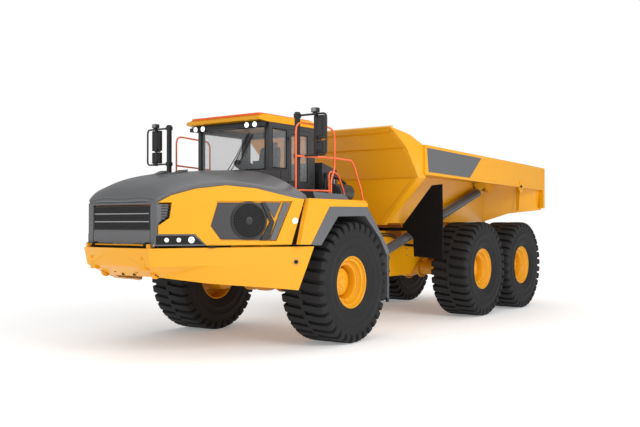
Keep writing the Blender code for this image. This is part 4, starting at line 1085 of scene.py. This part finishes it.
# folds across the sloping front wall, with the rib and hook in its middle
folds = [(3.52, 0.375, 1.80), (2.97, 0.795, 1.80), (3.79, 0.02, 1.79)]
for z, y, halfWidth in folds:
    addPrism(bm, [front(-halfWidth, nose + y - 0.010, z - 0.018),
                  front(-halfWidth, nose + y + 0.03, z - 0.03),
                  front(-halfWidth, nose + y + 0.02, z + 0.02)], (2 * halfWidth, 0, 0))
addPrism(bm, [front(-0.03, nose + 0.36, 3.54), front(-0.03, nose + 0.04, 3.80),
              front(-0.03, nose + 0.12, 3.86),
              front(-0.03, nose + 0.42, 3.56)], (0.06, 0, 0))
hook = front(0.0, nose + 0.775, 2.90)
addRing(bm, hook - Vector((0.015, 0, 0)), (1, 0, 0), 0.03, 0.05, 0.022, 28)
addBox(bm, hook + Vector((-0.015, 0.0, -0.03)), hook + Vector((0.015, 0.08, 0.06)))
# lip along the spill guard's top
addPrism(bm, [front(-1.78, nose - 0.12, 3.865), front(1.78, nose - 0.12, 3.865),
              front(1.78, nose + 0.01, 3.90),
              front(-1.78, nose + 0.01, 3.90)], (0, 0, 0.02))
meshPiece("front_wall_ribs", bm, yellow, "dump_body", edge=0.004)
# bands down both corners of the front wall
bm = bmesh.new()
for side in (-1, 1):
    path = [(1.80, 0.00, 3.80), (1.85, 0.39, 3.52), (1.87, 0.81, 2.97), (0.975, 0.96, 2.06)]
    for (x0, y0, z0), (x1, y1, z1) in zip(path, path[1:]):
        addPrism(bm, [front(side * x0, nose + y0 - 0.012, z0), front(side * x1, nose + y1 - 0.012, z1),
                      front(side * (x1 - 0.10), nose + y1 - 0.022, z1),
                      front(side * (x0 - 0.10), nose + y0 - 0.022, z0)], (0, 0.02, 0))
meshPiece("front_wall_bands", bm, yellow, "dump_body", edge=0.004)
# cross ribs under the floor
bm = bmesh.new()
for y in (3.4, 4.3, 5.2, 6.1, 7.0):
    frontSlab(bm, 0, 0.86, y, y + 0.09, 2.035, 2.075)
meshPiece("floor_ribs", bm, yellow, "dump_body", edge=0.005)
print("dump body made")


# hydraulic cylinders

hoist = {"x": 1.05, "low": rear(0, -3.93, 1.46), "high": rear(0, 0.89, 2.93), "radius": 0.088, "rod": 0.052,
         "barrelShort": 0.40, "rodShort": 0.75}
steer = {"base": front(0.40, 0.40, 1.15), "arm": front(0.45, 1.60, 1.15), "radius": 0.055, "rod": 0.028,
         "barrel": 0.79, "rodLength": 0.755}


def cylinder(name, start, end, radius, rodRadius, barrelLength, rodLength, eyeAxis, pipeSide):
    run = (end - start).normalized()
    across = Vector(eyeAxis)
    bm = bmesh.new()
    addLathe(bm, start, run, [(radius * 0.8, radius * 0.7), (radius * 0.95, radius),
                              (barrelLength - radius * 1.2,
             radius), (barrelLength - radius * 1.15, radius * 1.04),
             (barrelLength - radius * 0.5, radius * 1.04)],
             56)
    addLathe(bm, start - across * radius * 0.88, across, [(0.0, radius * 0.55), (0.0, radius * 1.1),
             (0.012, radius * 1.14), (radius * 1.76 - 0.012, radius * 1.14), (radius * 1.76, radius * 1.1),
             (radius * 1.76, radius * 0.55)], 40, closed=True)
    up = run.cross(across).normalized()
    if up.z < 0:
        up = -up
    if pipeSide:
        pipe = start + up * (radius + 0.018)
        addBar(bm, pipe + run * radius * 2.2, pipe + run * (barrelLength - radius), 0.013, 12)
        for reach in (radius * 2.2, barrelLength - radius):
            addBar(bm, start + run * reach + up * radius * 0.7, start + run * reach + up * (radius + 0.03),
                   0.022, 14)
        for number in (1, 2, 3):
            band = barrelLength * number / 4
            addLathe(bm, start, run, [(band, radius), (band, radius + 0.003), (band + 0.03, radius + 0.003),
                                      (band + 0.03, radius)], 48, closed=True)
    meshPiece(f"{name}_barrel_shell", bm, cylinderGrey, f"{name}_barrel", "cylinder_grey",
              (f"{name}_barrel",),
              angle=40)
    bm = bmesh.new()
    addLathe(bm, start, run, [(barrelLength - radius * 0.5, rodRadius + 0.002),
                              (barrelLength - radius * 0.5,
             radius * 1.0), (barrelLength - 0.004, radius * 0.95), (barrelLength, radius * 0.86),
             (barrelLength, rodRadius + 0.002)], 56, closed=True)
    meshPiece(f"{name}_gland", bm, steel, f"{name}_barrel", "cylinder_grey")
    bm = bmesh.new()
    addBar(bm, end - run * rodLength, end - run * radius * 0.5, rodRadius - 0.001, 40)
    meshPiece(f"{name}_rod_shaft", bm, chrome, f"{name}_rod", "rod_chrome", (f"{name}_rod",))
    bm = bmesh.new()
    addLathe(bm, end - across * radius * 0.88, across, [(0.0, radius * 0.42), (0.0, radius * 0.85),
             (radius * 1.76, radius * 0.85), (radius * 1.76, radius * 0.42)], 40, closed=True)
    addLathe(bm, end, -run, [(radius * 0.70, rodRadius * 1.25), (radius * 1.20, rodRadius * 1.2),
                             (radius * 1.35, rodRadius * 1.02)], 40)
    meshPiece(f"{name}_rod_eye", bm, cylinderGrey, f"{name}_rod", edge=0.003)


for sideName, side in sideNames.items():
    shift = Vector((side * hoist["x"], 0, 0))
    length = (hoist["high"] - hoist["low"]).length
    cylinder(f"hoist_{sideName}", hoist["low"] + shift, hoist["high"] + shift, hoist["radius"],
             hoist["rod"],
             length - hoist["barrelShort"], length - hoist["rodShort"], (1, 0, 0), True)
    flip = Vector((side, 1, 1))
    cylinder(f"steer_{sideName}", steer["base"] * flip, steer["arm"] * flip, steer["radius"], steer["rod"],
             steer["barrel"], steer["rodLength"], (0, 0, 1), False)
print("cylinders made")


# frames: hoses along the hitch, drive line, bolts and tail lamps

tubePiece("frame_hoses", [
    [rear(side * 0.62, -3.40, 1.80 + 0.05 * row), rear(side * 0.625, -2.90, 1.79 + 0.05 * row),
     rear(side * 0.62, -2.30, 1.56 + 0.03 * row), rear(side * 0.62, -0.30, 1.52 + 0.03 * row)]
    for side in (-1, 1) for row in (0, 1)
], 0.014, black, "rear_chassis", bend=0.2)
bm = bmesh.new()
for low, high, radius in ((rear(0, -3.70, 1.13), rear(0, -1.42, 1.08), 0.062),
                          (rear(0, -0.80, 1.06), rear(0, 0.80, 1.06), 0.055)):
    addBar(bm, low, high, radius, 28)
    for spot in (low, high):
        addBar(bm, spot - Vector((0, 0.05, 0)), spot + Vector((0, 0.05, 0)), radius * 1.45, 24)
meshPiece("drive_shafts", bm, charcoal, "rear_chassis", "dark_steel", edge=0.004)
bm = bmesh.new()
for side in (-1, 1):
    for y in (-3.75, -3.45, -3.15, -2.2, -0.3, 0.3, 1.3):
        for z in (1.36, 1.50):
            addBolt(bm, rear(side * 0.602, y, z), (side, 0, 0), 0.014)
for number in range(12):
    angle = math.tau * number / 12
    addBolt(bm, Vector((0.27 * math.cos(angle), rear(0, -4.355, 0).y, 1.20 + 0.27 * math.sin(angle))),
            (0, -1, 0),
            0.014)
meshPiece("frame_bolts", bm, steel, "rear_chassis", "body_yellow")
bm = bmesh.new()
for side in (-1, 1):
    for y in (-2.5, -1.9, -1.3):
        addBolt(bm, front(side * 0.622, y, 1.42), (side, 0, 0), 0.014)
meshPiece("front_frame_bolts", bm, steel, "front_chassis", "body_yellow")
bm = bmesh.new()
red = bmesh.new()
for side in (-1, 1):
    addBox(bm, rear(side * 0.51 - 0.085, 1.645, 1.46), rear(side * 0.51 + 0.085, 1.69, 1.60))
    addBox(red, rear(side * 0.51 - 0.07, 1.688, 1.475), rear(side * 0.51 + 0.07, 1.698, 1.585))
meshPiece("tail_lamp_boxes", bm, black, "rear_chassis", "body_yellow", edge=0.008)
meshPiece("tail_lamps", red, lampRed, "rear_chassis", "body_yellow", edge=0.004)

# axle housings: a carrier with a ring of bolts round each differential, and stub arms
for axleName, body in (("front_axle", "front_chassis"), ("mid_axle", "rear_chassis"),
                       ("rear_axle", "rear_chassis")):
    middle = middleOf(f"tyre_{axleName.split('_')[0]}_left")
    spot = Vector((0, middle.y, middle.z))
    bm = bmesh.new()
    addLathe(bm, spot - Vector((0, 0.30, 0)), (0, 1, 0), [(0.0, 0.10), (0.0, 0.17), (0.05, 0.20),
                                                          (0.12, 0.22),
             (0.48, 0.22), (0.55, 0.20), (0.60, 0.16), (0.60, 0.10)], 48, closed=True)
    for number in range(16):
        swing = math.tau * number / 16
        addBolt(bm, spot + Vector((0.20 * math.cos(swing), 0.27, 0.20 * math.sin(swing))), (0, 1, 0), 0.012)
    for side in (-1, 1):
        addLathe(bm, spot + Vector((side * 0.36, 0, 0)), (side, 0, 0),
                 [(0.0, 0.24), (0.04, 0.24), (0.05, 0.18),
                 (0.62, 0.172), (0.66, 0.25), (0.70, 0.25)], 48)
    meshPiece(f"{axleName}_housing", bm, yellow, body, edge=0.004)
print("frames made")
